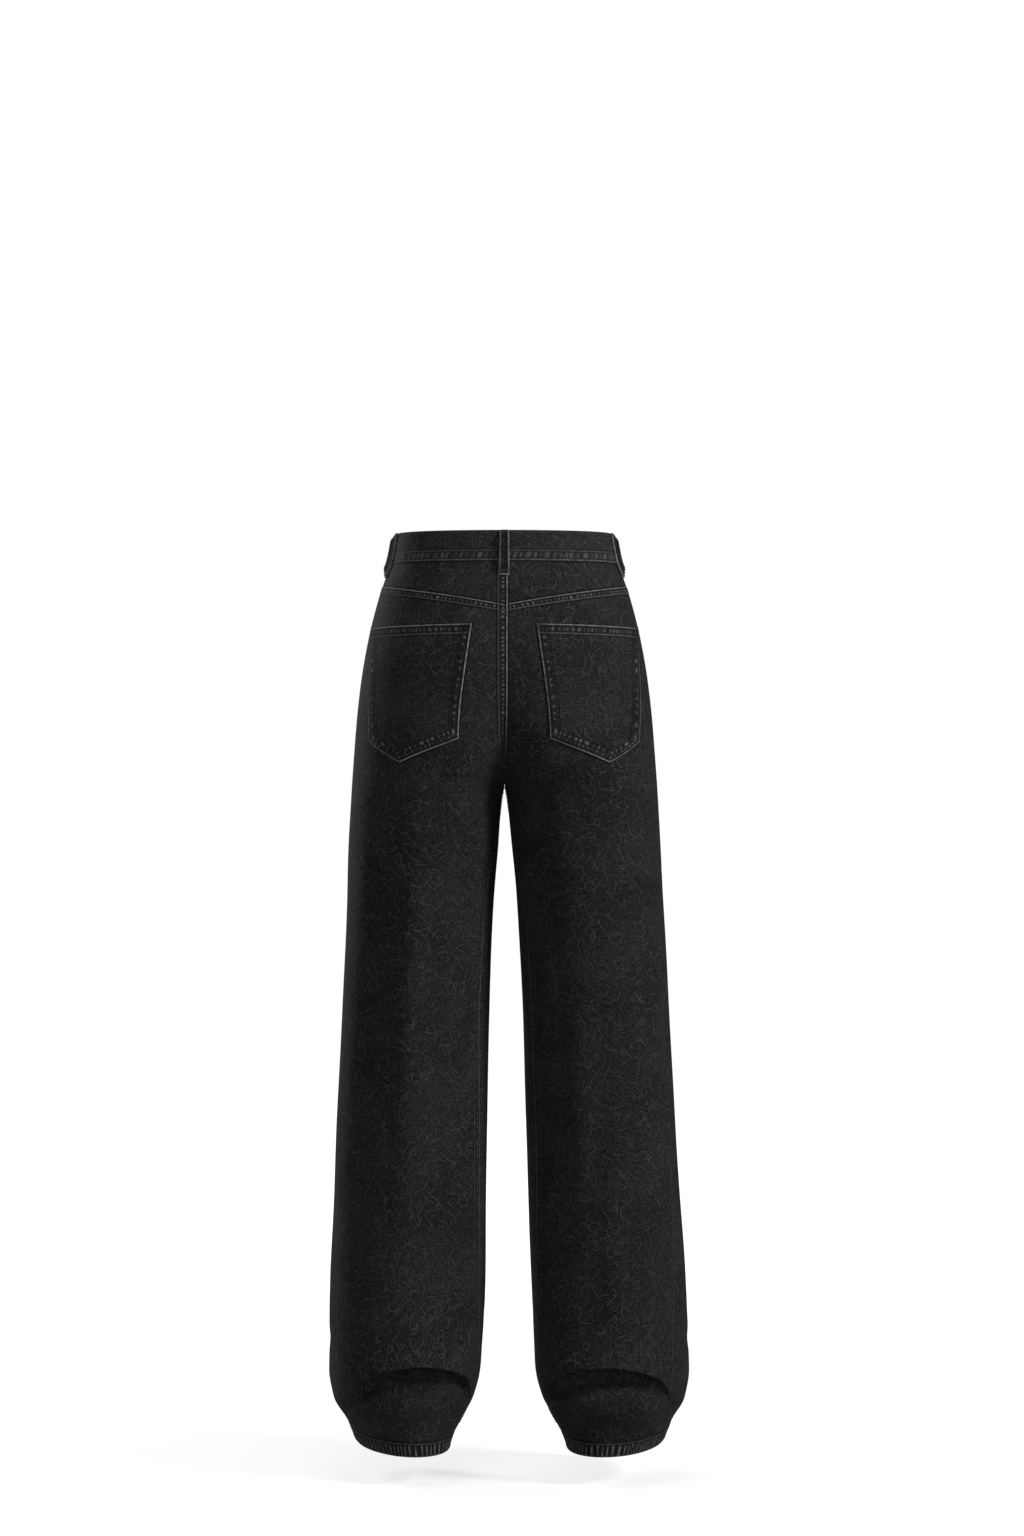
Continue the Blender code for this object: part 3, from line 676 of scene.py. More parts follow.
def bar_tack(start: Grid, end: Grid, out: Grid, pitch: float = 0.0006) -> Stitches:
    """A dense bar of short stitches that lie across the line from start to end."""
    count = max(int(np.linalg.norm(end - start) / pitch), 2)
    share = np.linspace(0, 1, count)[:, None]
    along = (end - start) / np.linalg.norm(end - start)
    run = np.cross(out, along)
    run = np.repeat(run[None] / np.linalg.norm(run), count, axis=0)
    middle = start + (end - start) * share + out * 0.00035
    return Stitches(middle, run, np.repeat(out[None], count, axis=0))


class Nodes:
    """Adds and links the nodes of one tree."""

    def __init__(self, tree: Tree) -> None:
        self.tree = tree

    def add(self, kind: str, *wires: object, **settings: object) -> bpy.types.Node:
        """A node, with its inputs in order: a value, a socket, or None to leave one alone."""
        node = self.tree.nodes.new(kind)
        for name, value in settings.items():
            setattr(node, name, value)
        for socket, wire in zip(node.inputs, wires):
            self.feed(socket, wire)
        return node

    def feed(self, socket: Socket, wire: object) -> None:
        """Sets or links one input."""
        if isinstance(wire, Socket):
            self.tree.links.new(wire, socket)
        elif wire is not None:
            socket.default_value = wire

    def feeds(self, node: bpy.types.Node, **wires: object) -> bpy.types.Node:
        """Sets or links a node's inputs by name."""
        for name, wire in wires.items():
            self.feed(node.inputs[name], wire)
        return node

    def math(self, operation: str, *wires: object) -> Socket:
        """The result of a Math node."""
        return self.add("ShaderNodeMath", *wires, operation=operation).outputs[0]

    def times(self, one: object, other: object) -> Socket:
        """The product of two values."""
        return self.math("MULTIPLY", one, other)

    def plus(self, one: object, other: object) -> Socket:
        """The sum of two values."""
        return self.math("ADD", one, other)

    def minus(self, one: object, other: object) -> Socket:
        """The first value less the other."""
        return self.math("SUBTRACT", one, other)

    def most(self, one: object, other: object) -> Socket:
        """The larger of two values."""
        return self.math("MAXIMUM", one, other)

    def ramp(
        self, value: object, low: float, high: float, to_low: float = 0.0, to_high: float = 1.0
    ) -> Socket:
        """A value eased from one range to another, and held at its ends."""
        node = self.add("ShaderNodeMapRange", value, low, high, to_low, to_high)
        node.interpolation_type = "SMOOTHSTEP"
        return node.outputs[0]

    def noise(
        self, vector: object, scale: float, detail: float = 2.0, warp: float = 0.0, space: str = "2D"
    ) -> Socket:
        """A noise between 0 and 1 on a vector, flat unless its space is 3D."""
        node = self.add("ShaderNodeTexNoise", noise_dimensions=space)
        return self.feeds(node, Vector=vector, Scale=scale, Detail=detail, Distortion=warp).outputs[0]

    def vector(self, operation: str, *wires: object) -> Socket:
        """The vector result of a Vector Math node."""
        return self.add("ShaderNodeVectorMath", *wires, operation=operation).outputs[0]

    def mix(self, share: object, low: object, high: object) -> Socket:
        """Two colours mixed by a share."""
        node = self.add("ShaderNodeMix", data_type="RGBA", clamp_factor=True)
        for at, wire in ((0, share), (6, low), (7, high)):
            self.feed(node.inputs[at], wire)
        return node.outputs[2]


def grey(value: float, warmth: float = 0.0) -> tuple[float, float, float, float]:
    """A near-neutral colour, a little warmer where warmth is above 0."""
    return (value * (1 + warmth), value, value * (1 - warmth), 1.0)


def start_material(name: str, levels: dict[str, object]) -> tuple[Material, Nodes, bpy.types.Node]:
    """Starts a material.

    Args:
        name: its name.
        levels: the shader's uniform values, by the names of its inputs.

    Returns:
        The material, its nodes and its shader.
    """
    made = bpy.data.materials.new(name)
    made.use_nodes = True
    shader = made.node_tree.nodes["Principled BSDF"]
    for key, level in levels.items():
        shader.inputs[key].default_value = level
    return made, Nodes(made.node_tree), shader


def raise_surface(
    n: Nodes, shader: bpy.types.Node, height: Socket, distance: float, strength: float = 1.0
) -> None:
    """Bumps a shader's surface by a height.

    Args:
        n: the material's nodes.
        shader: its shader.
        height: the height, mostly between 0 and 1.
        distance: how far 1 stands out, in metres.
        strength: how much of it shows.
    """
    bump = n.feeds(n.add("ShaderNodeBump"), Distance=distance, Strength=strength, Height=height)
    n.feed(shader.inputs["Normal"], bump.outputs[0])


def named_group(name: str, inputs: Sequence[str], outputs: Sequence[str]) -> tuple[Nodes, Sequence]:
    """Starts a shader group whose first input is a vector and whose others are numbers.

    Args:
        name: the group's name.
        inputs: the names of its inputs.
        outputs: the names of its outputs, all numbers.

    Returns:
        The group's nodes and the sockets of its inputs.
    """
    tree = bpy.data.node_groups.new(name, "ShaderNodeTree")
    for number, key in enumerate(inputs):
        kind = "NodeSocketFloat" if number else "NodeSocketVector"
        tree.interface.new_socket(key, in_out="INPUT", socket_type=kind)
    for key in outputs:
        tree.interface.new_socket(key, in_out="OUTPUT", socket_type="NodeSocketFloat")
    n = Nodes(tree)
    return n, n.add("NodeGroupInput").outputs


class Curl(NamedTuple):
    """One layer of crinkle lines: size of its curls, lines over each, place and how many stay."""

    scale: float
    lines: float
    shift: float
    mask: float
    kept: float


@dataclass(frozen=True)
class Crinkle:
    """The fine curled lines that the wash leaves all over the cloth."""

    curls: tuple[Curl, ...] = (
        Curl(50.0, 3.0, 0.0, 55.0, 0.48),
        Curl(58.0, 2.6, 3.7, 50.0, 0.505),
        Curl(42.0, 3.2, 8.2, 60.0, 0.525),
    )
    cell: float = 70.0
    cell_bend: float = 0.012
    nudge: float = 0.0006
    thin: float = 0.00025
    thick: float = 0.0009
    beside: float = 0.0015

    def group(self) -> Tree:
        """The node group: a vector in, the light lines and the painted shadows beside them out.

        Returns:
            The shared group, made once.
        """
        name = "crinkle_lines"
        if name in bpy.data.node_groups:
            return bpy.data.node_groups[name]
        n, given = named_group(name, ("Vector",), ("Light", "Shade"))
        light, shade = 0.0, 0.0
        for curl in self.curls:
            place = n.vector("ADD", given[0], (curl.shift, curl.shift * 1.3, 0.0))
            away = self.contour(n, place, curl)
            mask = n.ramp(n.noise(place, curl.mask, 0.5), curl.kept, curl.kept + 0.055)
            light = n.most(light, n.times(self.line(n, away), mask))
            # Painted shadow: a dark line just beside each light line, as if each line were a ridge shaded on
            # one side.
            dark = self.line(n, n.minus(away, self.beside))
            shade = n.most(shade, n.times(dark, mask))
        cracks = self.cracks(n, given[0])
        light = n.most(light, cracks)
        uneven = n.ramp(n.noise(given[0], 120.0, 1.0), 0.32, 0.6, 0.3, 1.0)
        n.add("NodeGroupOutput", n.times(light, uneven), shade)
        return n.tree

    def contour(self, n: Nodes, place: Socket, curl: Curl) -> Socket:
        """Signed distance in metres from the nearest contour of a smooth noise."""
        hill = n.noise(place, curl.scale, 0.0)
        rises = []
        for aside in ((self.nudge, 0.0, 0.0), (0.0, self.nudge, 0.0)):
            next_to = n.noise(n.vector("ADD", place, aside), curl.scale, 0.0)
            rises.append(n.minus(next_to, hill))
        squares = [n.times(rise, rise) for rise in rises]
        slope = n.math("DIVIDE", n.math("SQRT", n.plus(*squares)), self.nudge)
        wave = n.minus(n.math("FRACT", n.times(hill, curl.lines)), 0.5)
        return n.math("DIVIDE", n.math("DIVIDE", wave, curl.lines), n.most(slope, 1.0))

    def line(self, n: Nodes, away: Socket) -> Socket:
        """A soft line where a distance is nil."""
        return n.ramp(n.math("ABSOLUTE", away), self.thin, self.thick, 1.0, 0.0)

    def cracks(self, n: Nodes, place: Socket) -> Socket:
        """A few straighter lines that branch."""
        drift = n.add("ShaderNodeTexNoise", noise_dimensions="2D")
        n.feeds(drift, Vector=place, Scale=48.0, Detail=1.0)
        sway = n.vector("SUBTRACT", drift.outputs[1], (0.5, 0.5, 0.5))
        bent = n.vector("ADD", place, n.vector("MULTIPLY", sway, (self.cell_bend, self.cell_bend, 0.0)))
        cell = n.add("ShaderNodeTexVoronoi", feature="DISTANCE_TO_EDGE", voronoi_dimensions="2D")
        n.feeds(cell, Vector=bent, Scale=self.cell)
        away = n.math("DIVIDE", cell.outputs[0], self.cell)
        mask = n.ramp(n.noise(place, 58.0, 0.5), 0.555, 0.6)
        return n.times(n.ramp(away, self.thin, self.thick, 0.9, 0.0), mask)


@dataclass(frozen=True)
class Beads:
    """A row of short worn marks between two rows of stitches."""

    at: float
    tall: float
    pitch: float
    wide: float = 0.3
    lean: float = 0.0
    light: float = 0.4

    @staticmethod
    def group() -> Tree:
        """The node group: a trim and the row's sizes in, how worn the cloth is out.

        Returns:
            The shared group, made once.
        """
        name = "bead_row"
        if name in bpy.data.node_groups:
            return bpy.data.node_groups[name]
        n, given = named_group(name, ("Trim", "At", "Tall", "Pitch", "Wide", "Lean"), ("Worn",))
        away, along, strength = n.add("ShaderNodeSeparateXYZ", given[0]).outputs
        at, tall, pitch, wide, lean = given[1:6]
        off = n.minus(away, at)
        spot = n.add("ShaderNodeCombineXYZ", along, at, 0.0).outputs[0]
        drift = n.minus(n.noise(spot, 42.0, 1.0), 0.5)
        turn = n.math("DIVIDE", n.plus(along, n.times(off, lean)), pitch)
        turn = n.plus(turn, n.times(drift, 1.6))
        seed = n.plus(n.math("FLOOR", turn), n.times(at, 3217.0))
        chance = n.add("ShaderNodeTexWhiteNoise", noise_dimensions="1D")
        n.feed(chance.inputs["W"], seed)
        lot = chance.outputs[0]
        broad = n.times(wide, n.plus(0.75, n.times(lot, 0.5)))
        local = n.math("ABSOLUTE", n.minus(n.math("FRACT", turn), 0.5))
        body = n.ramp(local, n.times(broad, 0.45), broad, 1.0, 0.0)
        row = n.ramp(n.math("ABSOLUTE", off), n.times(tall, 0.4), tall, 1.0, 0.0)
        worn = n.times(n.times(body, row), n.ramp(lot, 0.0, 1.0, 0.3, 1.0))
        n.add("NodeGroupOutput", n.times(worn, strength))
        return n.tree


@dataclass(frozen=True)
class BandStyle:
    """How a sewn edge looks.

    edge and far are how light its rim and the line at its width are, dark is how dark the
    painted shade is in the channels between them and just outside the band and how much
    darker the band is as a whole, and shadow how dark the painted shadow is right along the edge.
    """

    width: float = 0.008
    edge: float = 0.0
    far: float = 0.0
    dark: float = 0.0
    shadow: float = 0.0
    rows: tuple[Beads, ...] = ()

    @staticmethod
    def group() -> Tree:
        """The node group: a trim and the edge's looks in, light, shade and height out.

        Returns:
            The shared group, made once.
        """
        name = "sewn_edge"
        if name in bpy.data.node_groups:
            return bpy.data.node_groups[name]
        names = ("Trim", "Width", "Edge", "Far", "Dark", "Shadow")
        n, given = named_group(name, names, ("Light", "Shade", "Height"))
        away, along, strength = n.add("ShaderNodeSeparateXYZ", given[0]).outputs
        width, edge, far, dark, shadow = given[1:6]
        spot = n.add("ShaderNodeCombineXYZ", along, n.times(away, 2.0), 0.0).outputs[0]
        worn = n.ramp(n.noise(spot, 130.0, 2.0), 0.3, 0.62, 0.45, 1.0)

        def near(place: object, thin: float, thick: float) -> Socket:
            """A soft line along a distance from the edge."""
            off = n.math("ABSOLUTE", n.minus(away, place))
            return n.ramp(off, thin, thick, 1.0, 0.0)

        rim = n.times(n.ramp(away, 0.001, 0.0021, 1.0, 0.0), edge)
        line = n.times(near(width, 0.0003, 0.0012), far)
        light = n.times(n.most(rim, line), worn)
        inside = n.ramp(n.minus(away, width), -0.001, 0.0, 0.4, 0.0)
        # Painted shade in the grooves along the stitch rows and in a line just outside the band.
        gaps = [near(0.0027, 0.0006, 0.0014)]
        for off in (-0.0019, 0.0018):
            gaps.append(near(n.plus(width, off), 0.0004, 0.0013))
        shade = inside
        for gap in gaps:
            shade = n.most(shade, gap)
        shade = n.times(shade, dark)
        # Painted shadow on the cloth right along the edge.
        painted_shade = n.times(n.ramp(away, 0.0007, 0.0027, 1.0, 0.0), shadow)
        shade = n.times(n.most(shade, painted_shade), strength)
        high = n.ramp(n.minus(away, width), -0.0008, 0.0006, 0.55, 0.0)
        n.add(
            "NodeGroupOutput",
            n.times(light, strength),
            shade,
            n.times(n.times(high, n.math("MINIMUM", dark, 1.0)), strength),
        )
        return n.tree


@dataclass(frozen=True)
class Denim:
    """Washed black denim: grain, twill, crinkle lines and worn sewn edges, with painted shade beside the
    lines, in grooves and hollows and along edges.
    """

    name: str
    base: float = 0.015
    line: float = 0.05
    worn: float = 0.19
    # The colour of the painted shade beside crinkle lines, in sewn grooves and hem hollows, and along sewn
    # edges.
    painted_shade: float = 0.003
    lining: float = 0.03
    lines: float = 0.9
    bands: tuple[BandStyle, ...] = ()
    roped: bool = False
    roughness: float = 0.86
    crinkle: Crinkle = Crinkle()

    def material(self) -> Material:
        """Builds the material.

        Returns:
            A material that reads the piece's UV map and its trim attributes.
        """
        levels = {
            "Roughness": self.roughness,
            "Specular IOR Level": 0.07,
            "Sheen Weight": 0.01,
            "Sheen Roughness": 0.5,
        }
        made, n, shader = start_material(self.name, levels)
        place = n.add("ShaderNodeUVMap", uv_map="cloth").outputs[0]
        tone, grain = self.weave(n, place)
        colour = n.mix(tone, grey(0.0), grey(self.base * 2, 0.01))
        lines = n.add("ShaderNodeGroup", place, node_tree=self.crinkle.group()).outputs
        patch = n.ramp(n.noise(place, 14.0, 2.0), 0.32, 0.66, 0.6, 1.0)
        strength = n.times(patch, self.lines)
        # Painted shadow beside the crinkle lines.
        colour = n.mix(n.times(lines[1], 0.5), colour, grey(self.painted_shade))
        colour = n.mix(n.times(lines[0], strength), colour, grey(self.line, 0.01))
        height = n.times(n.minus(lines[0], lines[1]), 0.3)
        for number, band in enumerate(self.bands):
            colour, height = self.sewn(n, f"trim{number + 1}", band, colour, height)
        if self.roped:
            colour = self.ropes(n, place, colour)
        under = n.add("ShaderNodeAttribute", attribute_name="inside").outputs["Fac"]
        pale = n.mix(tone, grey(0.0), grey(self.lining * 2))
        colour = n.mix(n.times(under, under), colour, pale)
        n.feed(shader.inputs["Base Color"], colour)
        twill = n.add("ShaderNodeTexWave", wave_type="BANDS", bands_direction="DIAGONAL")
        n.feeds(twill, Vector=place, Scale=300.0, Distortion=0.6, Detail=1.0)
        height = n.plus(height, n.times(twill.outputs["Fac"], 0.1))
        height = n.plus(height, n.times(grain, 0.16))
        raise_surface(n, shader, height, 0.0007, 0.8)
        return made

    @staticmethod
    def weave(n: Nodes, place: Socket) -> tuple[Socket, Socket]:
        """The cloth's tone, around one half, and its fine grain."""
        blotch = n.ramp(n.noise(place, 11.0, 3.0, 0.4), 0.3, 0.72, 0.8, 1.22)
        stretched = n.vector("MULTIPLY", place, (1.0, 0.45, 1.0))
        grain = n.ramp(n.noise(stretched, 900.0, 3.0), 0.3, 0.7, 0.36, 1.8)
        slub = n.ramp(n.noise(stretched, 260.0, 2.0), 0.3, 0.7, 0.8, 1.22)
        tone = n.times(n.times(blotch, grain), slub)
        return n.times(tone, 0.5), grain

    def sewn(
        self, n: Nodes, trim_name: str, band: BandStyle, colour: Socket, height: Socket
    ) -> tuple[Socket, Socket]:
        """Adds a sewn edge to the colour and the height.

        Args:
            n: the material's nodes.
            trim_name: the attribute that says how far the edge is.
            band: how the edge looks.
            colour: the cloth's colour so far.
            height: the cloth's height so far.

        Returns:
            The colour and the height with the edge.
        """
        trim = n.add("ShaderNodeAttribute", attribute_name=trim_name).outputs["Vector"]
        looks = (trim, band.width, band.edge, band.far, band.dark, band.shadow)
        light, shade, high = n.add("ShaderNodeGroup", *looks, node_tree=BandStyle.group()).outputs
        for row in band.rows:
            sizes = (trim, row.at, row.tall, row.pitch, row.wide, row.lean)
            worn = n.add("ShaderNodeGroup", *sizes, node_tree=Beads.group()).outputs[0]
            light = n.most(light, n.times(worn, row.light))
            high = n.plus(high, n.times(worn, 0.45))
        # Painted shade in the grooves and just outside the band, and painted shadow along the edge.
        colour = n.mix(shade, colour, grey(self.painted_shade))
        return n.mix(light, colour, grey(self.worn, 0.01)), n.plus(height, high)

    def ropes(self, n: Nodes, place: Socket, colour: Socket) -> Socket:
        """Wears the ridges of a roped hem lighter and paints shade into the hollows between them."""
        rope = n.add("ShaderNodeAttribute", attribute_name="rope").outputs["Fac"]
        patchy = n.ramp(n.noise(place, 110.0, 2.0), 0.32, 0.64, 0.25, 1.0)
        ridge = n.times(n.ramp(rope, 0.3, 0.95), patchy)
        # Painted shade in the hollows between the ridges.
        colour = n.mix(n.times(n.ramp(rope, -0.1, -0.8), 0.7), colour, grey(self.painted_shade))
        return n.mix(n.times(ridge, 0.62), colour, grey(self.worn))


@dataclass(frozen=True)
class Thread:
    """Sewing thread, a shade lighter than the cloth."""

    tone: float = 0.04
    roughness: float = 0.62

    def material(self) -> Material:
        """Builds the material.

        Returns:
            A material with a fine twist and uneven fading.
        """
        levels = {"Roughness": self.roughness, "Specular IOR Level": 0.2}
        made, n, shader = start_material("sewing_thread", levels)
        place = n.add("ShaderNodeTexCoord").outputs["Object"]
        faded = n.ramp(n.noise(place, 140.0, 2.0, space="3D"), 0.3, 0.7)
        n.feed(shader.inputs["Base Color"], n.mix(faded, grey(self.tone * 0.45), grey(self.tone * 1.5)))
        raise_surface(n, shader, n.noise(place, 3000.0, 1.0, space="3D"), 0.0001)
        return made


@dataclass(frozen=True)
class DarkMetal:
    """Dark plated metal, rubbed lighter in places."""

    dark: float = 0.055
    rubbed: float = 0.19

    def material(self) -> Material:
        """Builds the material.

        Returns:
            A metallic material with uneven roughness.
        """
        made, n, shader = start_material("plated_metal", {"Metallic": 1.0})
        place = n.add("ShaderNodeTexCoord").outputs["Object"]
        patch = n.ramp(n.noise(place, 420.0, 4.0, space="3D"), 0.35, 0.65)
        n.feed(shader.inputs["Base Color"], n.mix(patch, grey(self.dark), grey(self.rubbed, 0.02)))
        grain = n.ramp(n.noise(place, 900.0, 3.0, space="3D"), 0.3, 0.7, 0.3, 0.48)
        n.feed(shader.inputs["Roughness"], grain)
        raise_surface(n, shader, n.noise(place, 1500.0, 2.0, space="3D"), 0.00008)
        return made


@dataclass(frozen=True)
class Sewing:
    """Turns runs of stitches into meshes with a Geometry Nodes tree."""

    length: float = 0.0027
    width: float = 0.00062
    seed: int = 7

    def tree(self, thread: Material) -> Tree:
        """The tree that lays one stitch at each point.

        Args:
            thread: the stitches' material.

        Returns:
            The tree, with the stitch's sizes as named inputs.
        """
        tree = bpy.data.node_groups.new("stitch_runs", "GeometryNodeTree")
        face = tree.interface
        face.new_socket("Geometry", in_out="INPUT", socket_type="NodeSocketGeometry")
        for key, value in (("Length", self.length), ("Width", self.width)):
            face.new_socket(key, in_out="INPUT", socket_type="NodeSocketFloat").default_value = value
        seed = face.new_socket("Seed", in_out="INPUT", socket_type="NodeSocketInt")
        seed.default_value = self.seed
        face.new_socket("Geometry", in_out="OUTPUT", socket_type="NodeSocketGeometry")
        n = Nodes(tree)
        given = n.add("NodeGroupInput").outputs
        ball = n.add("GeometryNodeMeshUVSphere", 6, 4, 0.5).outputs["Mesh"]
        size = n.add("ShaderNodeCombineXYZ", given[1], given[2], given[2]).outputs[0]
        stitch = n.feeds(n.add("GeometryNodeTransform"), Geometry=ball, Scale=size)
        run = self.attribute(n, "run")
        out = self.attribute(n, "out")
        lie = n.add("FunctionNodeAlignRotationToVector", None, 1.0, run, axis="X", pivot_axis="AUTO")
        lie = n.add("FunctionNodeAlignRotationToVector", lie.outputs[0], 1.0, out, axis="Z", pivot_axis="X")
        vary = n.add("FunctionNodeRandomValue", data_type="FLOAT_VECTOR")
        vary.inputs[0].default_value = (0.86, 0.85, 0.85)
        vary.inputs[1].default_value = (1.08, 1.15, 1.15)
        n.feed(vary.inputs["Seed"], given[3])
        laid = n.add("GeometryNodeInstanceOnPoints")
        turned_to, sized = lie.outputs[0], vary.outputs[0]
        n.feeds(laid, Points=given[0], Instance=stitch.outputs[0], Rotation=turned_to, Scale=sized)
        real = n.add("GeometryNodeRealizeInstances", laid.outputs[0])
        dressed = n.add("GeometryNodeSetMaterial", real.outputs[0])
        dressed.inputs["Material"].default_value = thread
        n.add("NodeGroupOutput", dressed.outputs[0])
        return tree

    @staticmethod
    def attribute(n: Nodes, name: str) -> Socket:
        """A named vector of the carrier's points."""
        return n.add("GeometryNodeInputNamedAttribute", name, data_type="FLOAT_VECTOR").outputs[0]

    def sew(self, name: str, runs: Sequence[Stitches], tree: Tree) -> Thing:
        """Makes the stitches of one piece as a plain mesh.

        Args:
            name: the piece's name.
            runs: the runs of stitches on it.
            tree: the tree that lays them.

        Returns:
            The stitches, as one object at the origin.
        """
        carrier = bpy.data.meshes.new(f"{name}_carrier")
        carrier.from_pydata(np.concatenate([r.middle for r in runs]).tolist(), [], [])
        for key in ("run", "out"):
            store(carrier, key, np.concatenate([getattr(r, key) for r in runs]))
        holder = placed(f"{name}_carrier", carrier)
        modifier = holder.modifiers.new("stitches", "NODES")
        modifier.node_group = tree
        wanted = {"Length": self.length, "Width": self.width, "Seed": self.seed}
        for item in tree.interface.items_tree:
            if item.in_out == "INPUT" and item.name in wanted:
                modifier[item.identifier] = wanted[item.name]
        graph = bpy.context.evaluated_depsgraph_get()
        mesh = bpy.data.meshes.new_from_object(holder.evaluated_get(graph), depsgraph=graph)
        mesh.name = name
        mesh.shade_smooth()
        holder.modifiers.remove(modifier)
        bpy.data.objects.remove(holder)
        return placed(name, mesh)


def finish_piece(
    made: Thing, node: str | None = None, material: Material | None = None
) -> None:
    """Dresses a piece and ties it to the part.

    Args:
        made: the piece.
        node: the part's solid that it stands for, if any.
        material: its material, unless it has one.
    """
    if material is not None:
        made.data.materials.clear()
        made.data.materials.append(material)
    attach(made, BODY)
    if node is not None:
        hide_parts(node)
    log.info("%s: %d faces", made.name, len(made.data.polygons))


def rolled(lift: Grid, *edges: Grid, drop: float = EDGE_DROP, roll: float = EDGE_ROLL) -> Grid:
    """The lift of a cloth's face, less its drop where it is close to an edge."""
    for edge in edges:
        lift = lift - drop * eased(1 - edge / roll)
    return lift


def edge_steps(width: float, count: int) -> Grid:
    """Shares of a width that crowd together towards both edges."""
    near = EDGE_STEPS / width
    middle = np.linspace(EDGE_BAND / width, 1 - EDGE_BAND / width, count)
    return np.concatenate([near, middle, 1 - near[::-1]])


@dataclass
class Sizes:
    """Sizes that several sub-assemblies share."""

    cloth: float = 0.0015
    band_half: float = 0.019
    front_dip: float = 0.01
    yoke_side: float = -0.0481
    yoke_back: float = -0.0743
    yoke_curve: float = 1.6
    hem_end: float = -1.1372
    hem_height: float = 0.02
    hem_drop: float = 0.005
    hem_rise: float = 0.009
    mouth_share: float = 0.52
    mouth_depth: float = 0.078
    seam_gap: float = 0.00005

    def dip(self, share: Grid) -> Grid:
        """How much lower the waistband lies, from the side to the centre front."""
        return self.front_dip * (1 - np.cos(np.pi * np.clip(share, 0, 1))) / 2

    def yoke(self, share: Grid) -> Grid:
        """Height of the yoke seam, from the side to the centre back."""
        return self.yoke_side + (self.yoke_back - self.yoke_side) * share**self.yoke_curve

    def mouth(self, share: Grid) -> Grid:
        """Height of the front panel's top edge, from the side to the centre front."""
        inside = np.clip(1 - (share / self.mouth_share) ** 2, 0, 1)
        return -self.band_half - self.dip(share) - self.seam_gap - self.mouth_depth * np.sqrt(inside)

    def hem(self, part: Grid | float, angle: Grid) -> Grid:
        """Height of the hem's lower edge round the leg, or of its upper edge where part is 1."""
        lean = np.sin(angle)
        drop = np.where(lean > 0, self.hem_drop, self.hem_rise) * lean
        return self.hem_end - drop + part * self.hem_height

    def hem_top(self, form: LegForm, face: Face, shares: Grid) -> Grid:
        """Height of the hem's upper edge at each share of a panel's width."""
        height = np.full_like(shares, self.hem_end + self.hem_height)
        for _ in range(4):
            height = self.hem(1, form.angles(shares, height, face, gap=0.0)[0])
        return height


SIZES = Sizes()
FORMS = {side: LegForm(side) for side in Side}
LAP = np.array([0.0005, 0.0012, 0.0022, 0.0032, 0.0042])
LAP_LIFT = 0.0009


def lap_reach(height: Grid) -> Grid:
    """The share of its full width that the lap over the centre seam has at a height."""
    return eased((height - FORK - 0.004) / 0.03)


class Patch(NamedTuple):
    """A grid of a panel's points: normals, heights, and distances from its two long edges.

    past is how far a point lies past the centre plane, and reach is the lap's share there.
    """

    spot: Grid
    out: Grid
    height: Grid
    across: Grid
    inner: Grid
    past: Grid
    reach: Grid

    def under(self) -> Grid:
        """How far the cloth's hidden face lies off the plain surface."""
        near = eased(1 - (self.inner - LAP[-1] * self.reach) / 0.0015) * self.reach
        return -SIZES.cloth + (SIZES.cloth + 0.0001) * near


def laid(side: Side, face: Face, share: Grid, height: Grid) -> Patch:
    """Lays out a panel, with a lap over the centre seam on the left side.

    Args:
        side: the wearer's side.
        face: the back or the front.
        share: the columns' shares of the width, from the side seam.
        height: the height of each point.

    Returns:
        The grid, with a few more columns on the left side.
    """
    form = FORMS[side]
    share = np.broadcast_to(share, height.shape)
    spot, out, whole = form.spots(share, height, face)
    across = share * whole
    if side is Side.RIGHT:
        none = np.zeros_like(across)
        return Patch(spot, out, height, across, whole - across, none, none)
    edge, width = height[:, -1:], whole[:, -1:]
    reach = lap_reach(edge)
    lap = LAP * reach
    level = np.broadcast_to(edge, lap.shape)
    other = FORMS[Side.RIGHT]
    over, facing, _ = other.spots(1 - lap / other.width(level, face), level, face)
    close = 1 + 0.00002 * np.arange(1, len(LAP) + 1) / width
    here, plain, _ = form.spots(close, level, face)
    low = (reach <= 0)[..., None]
    return Patch(
        np.concatenate([spot, np.where(low, here, over)], axis=1),
        np.concatenate([out, np.where(low, plain, facing)], axis=1),
        np.concatenate([height, level], axis=1),
        np.concatenate([across, width + lap], axis=1),
        np.concatenate([whole - across, -lap], axis=1) + LAP[-1] * reach,
        np.concatenate([0 * across, lap], axis=1),
        np.repeat(reach, across.shape[1] + lap.shape[1], axis=1),
    )


def centre_run(face: Face, inset: float, height: Grid) -> Pair:
    """Points and normals at a distance from the edge of the lap over the centre seam."""
    reach = lap_reach(height)
    past = LAP[-1] * reach - inset
    own, other = FORMS[Side.LEFT], FORMS[Side.RIGHT]
    here = own.spots(1 + np.minimum(past, 0) / own.width(height, face), height, face)
    there = other.spots(1 - np.maximum(past, 0) / other.width(height, face), height, face)
    over = (past > 0)[:, None]
    spot, out = (np.where(over, there[i], here[i]) for i in (0, 1))
    return spot + (LAP_LIFT * reach)[:, None] * out, out


def centre_rows(face: Face, height: Grid) -> list[Stitches]:
    """The double row that holds the lap over the centre seam."""
    return [stitch_run(*centre_run(face, inset, height)) for inset in LAP_ROWS]


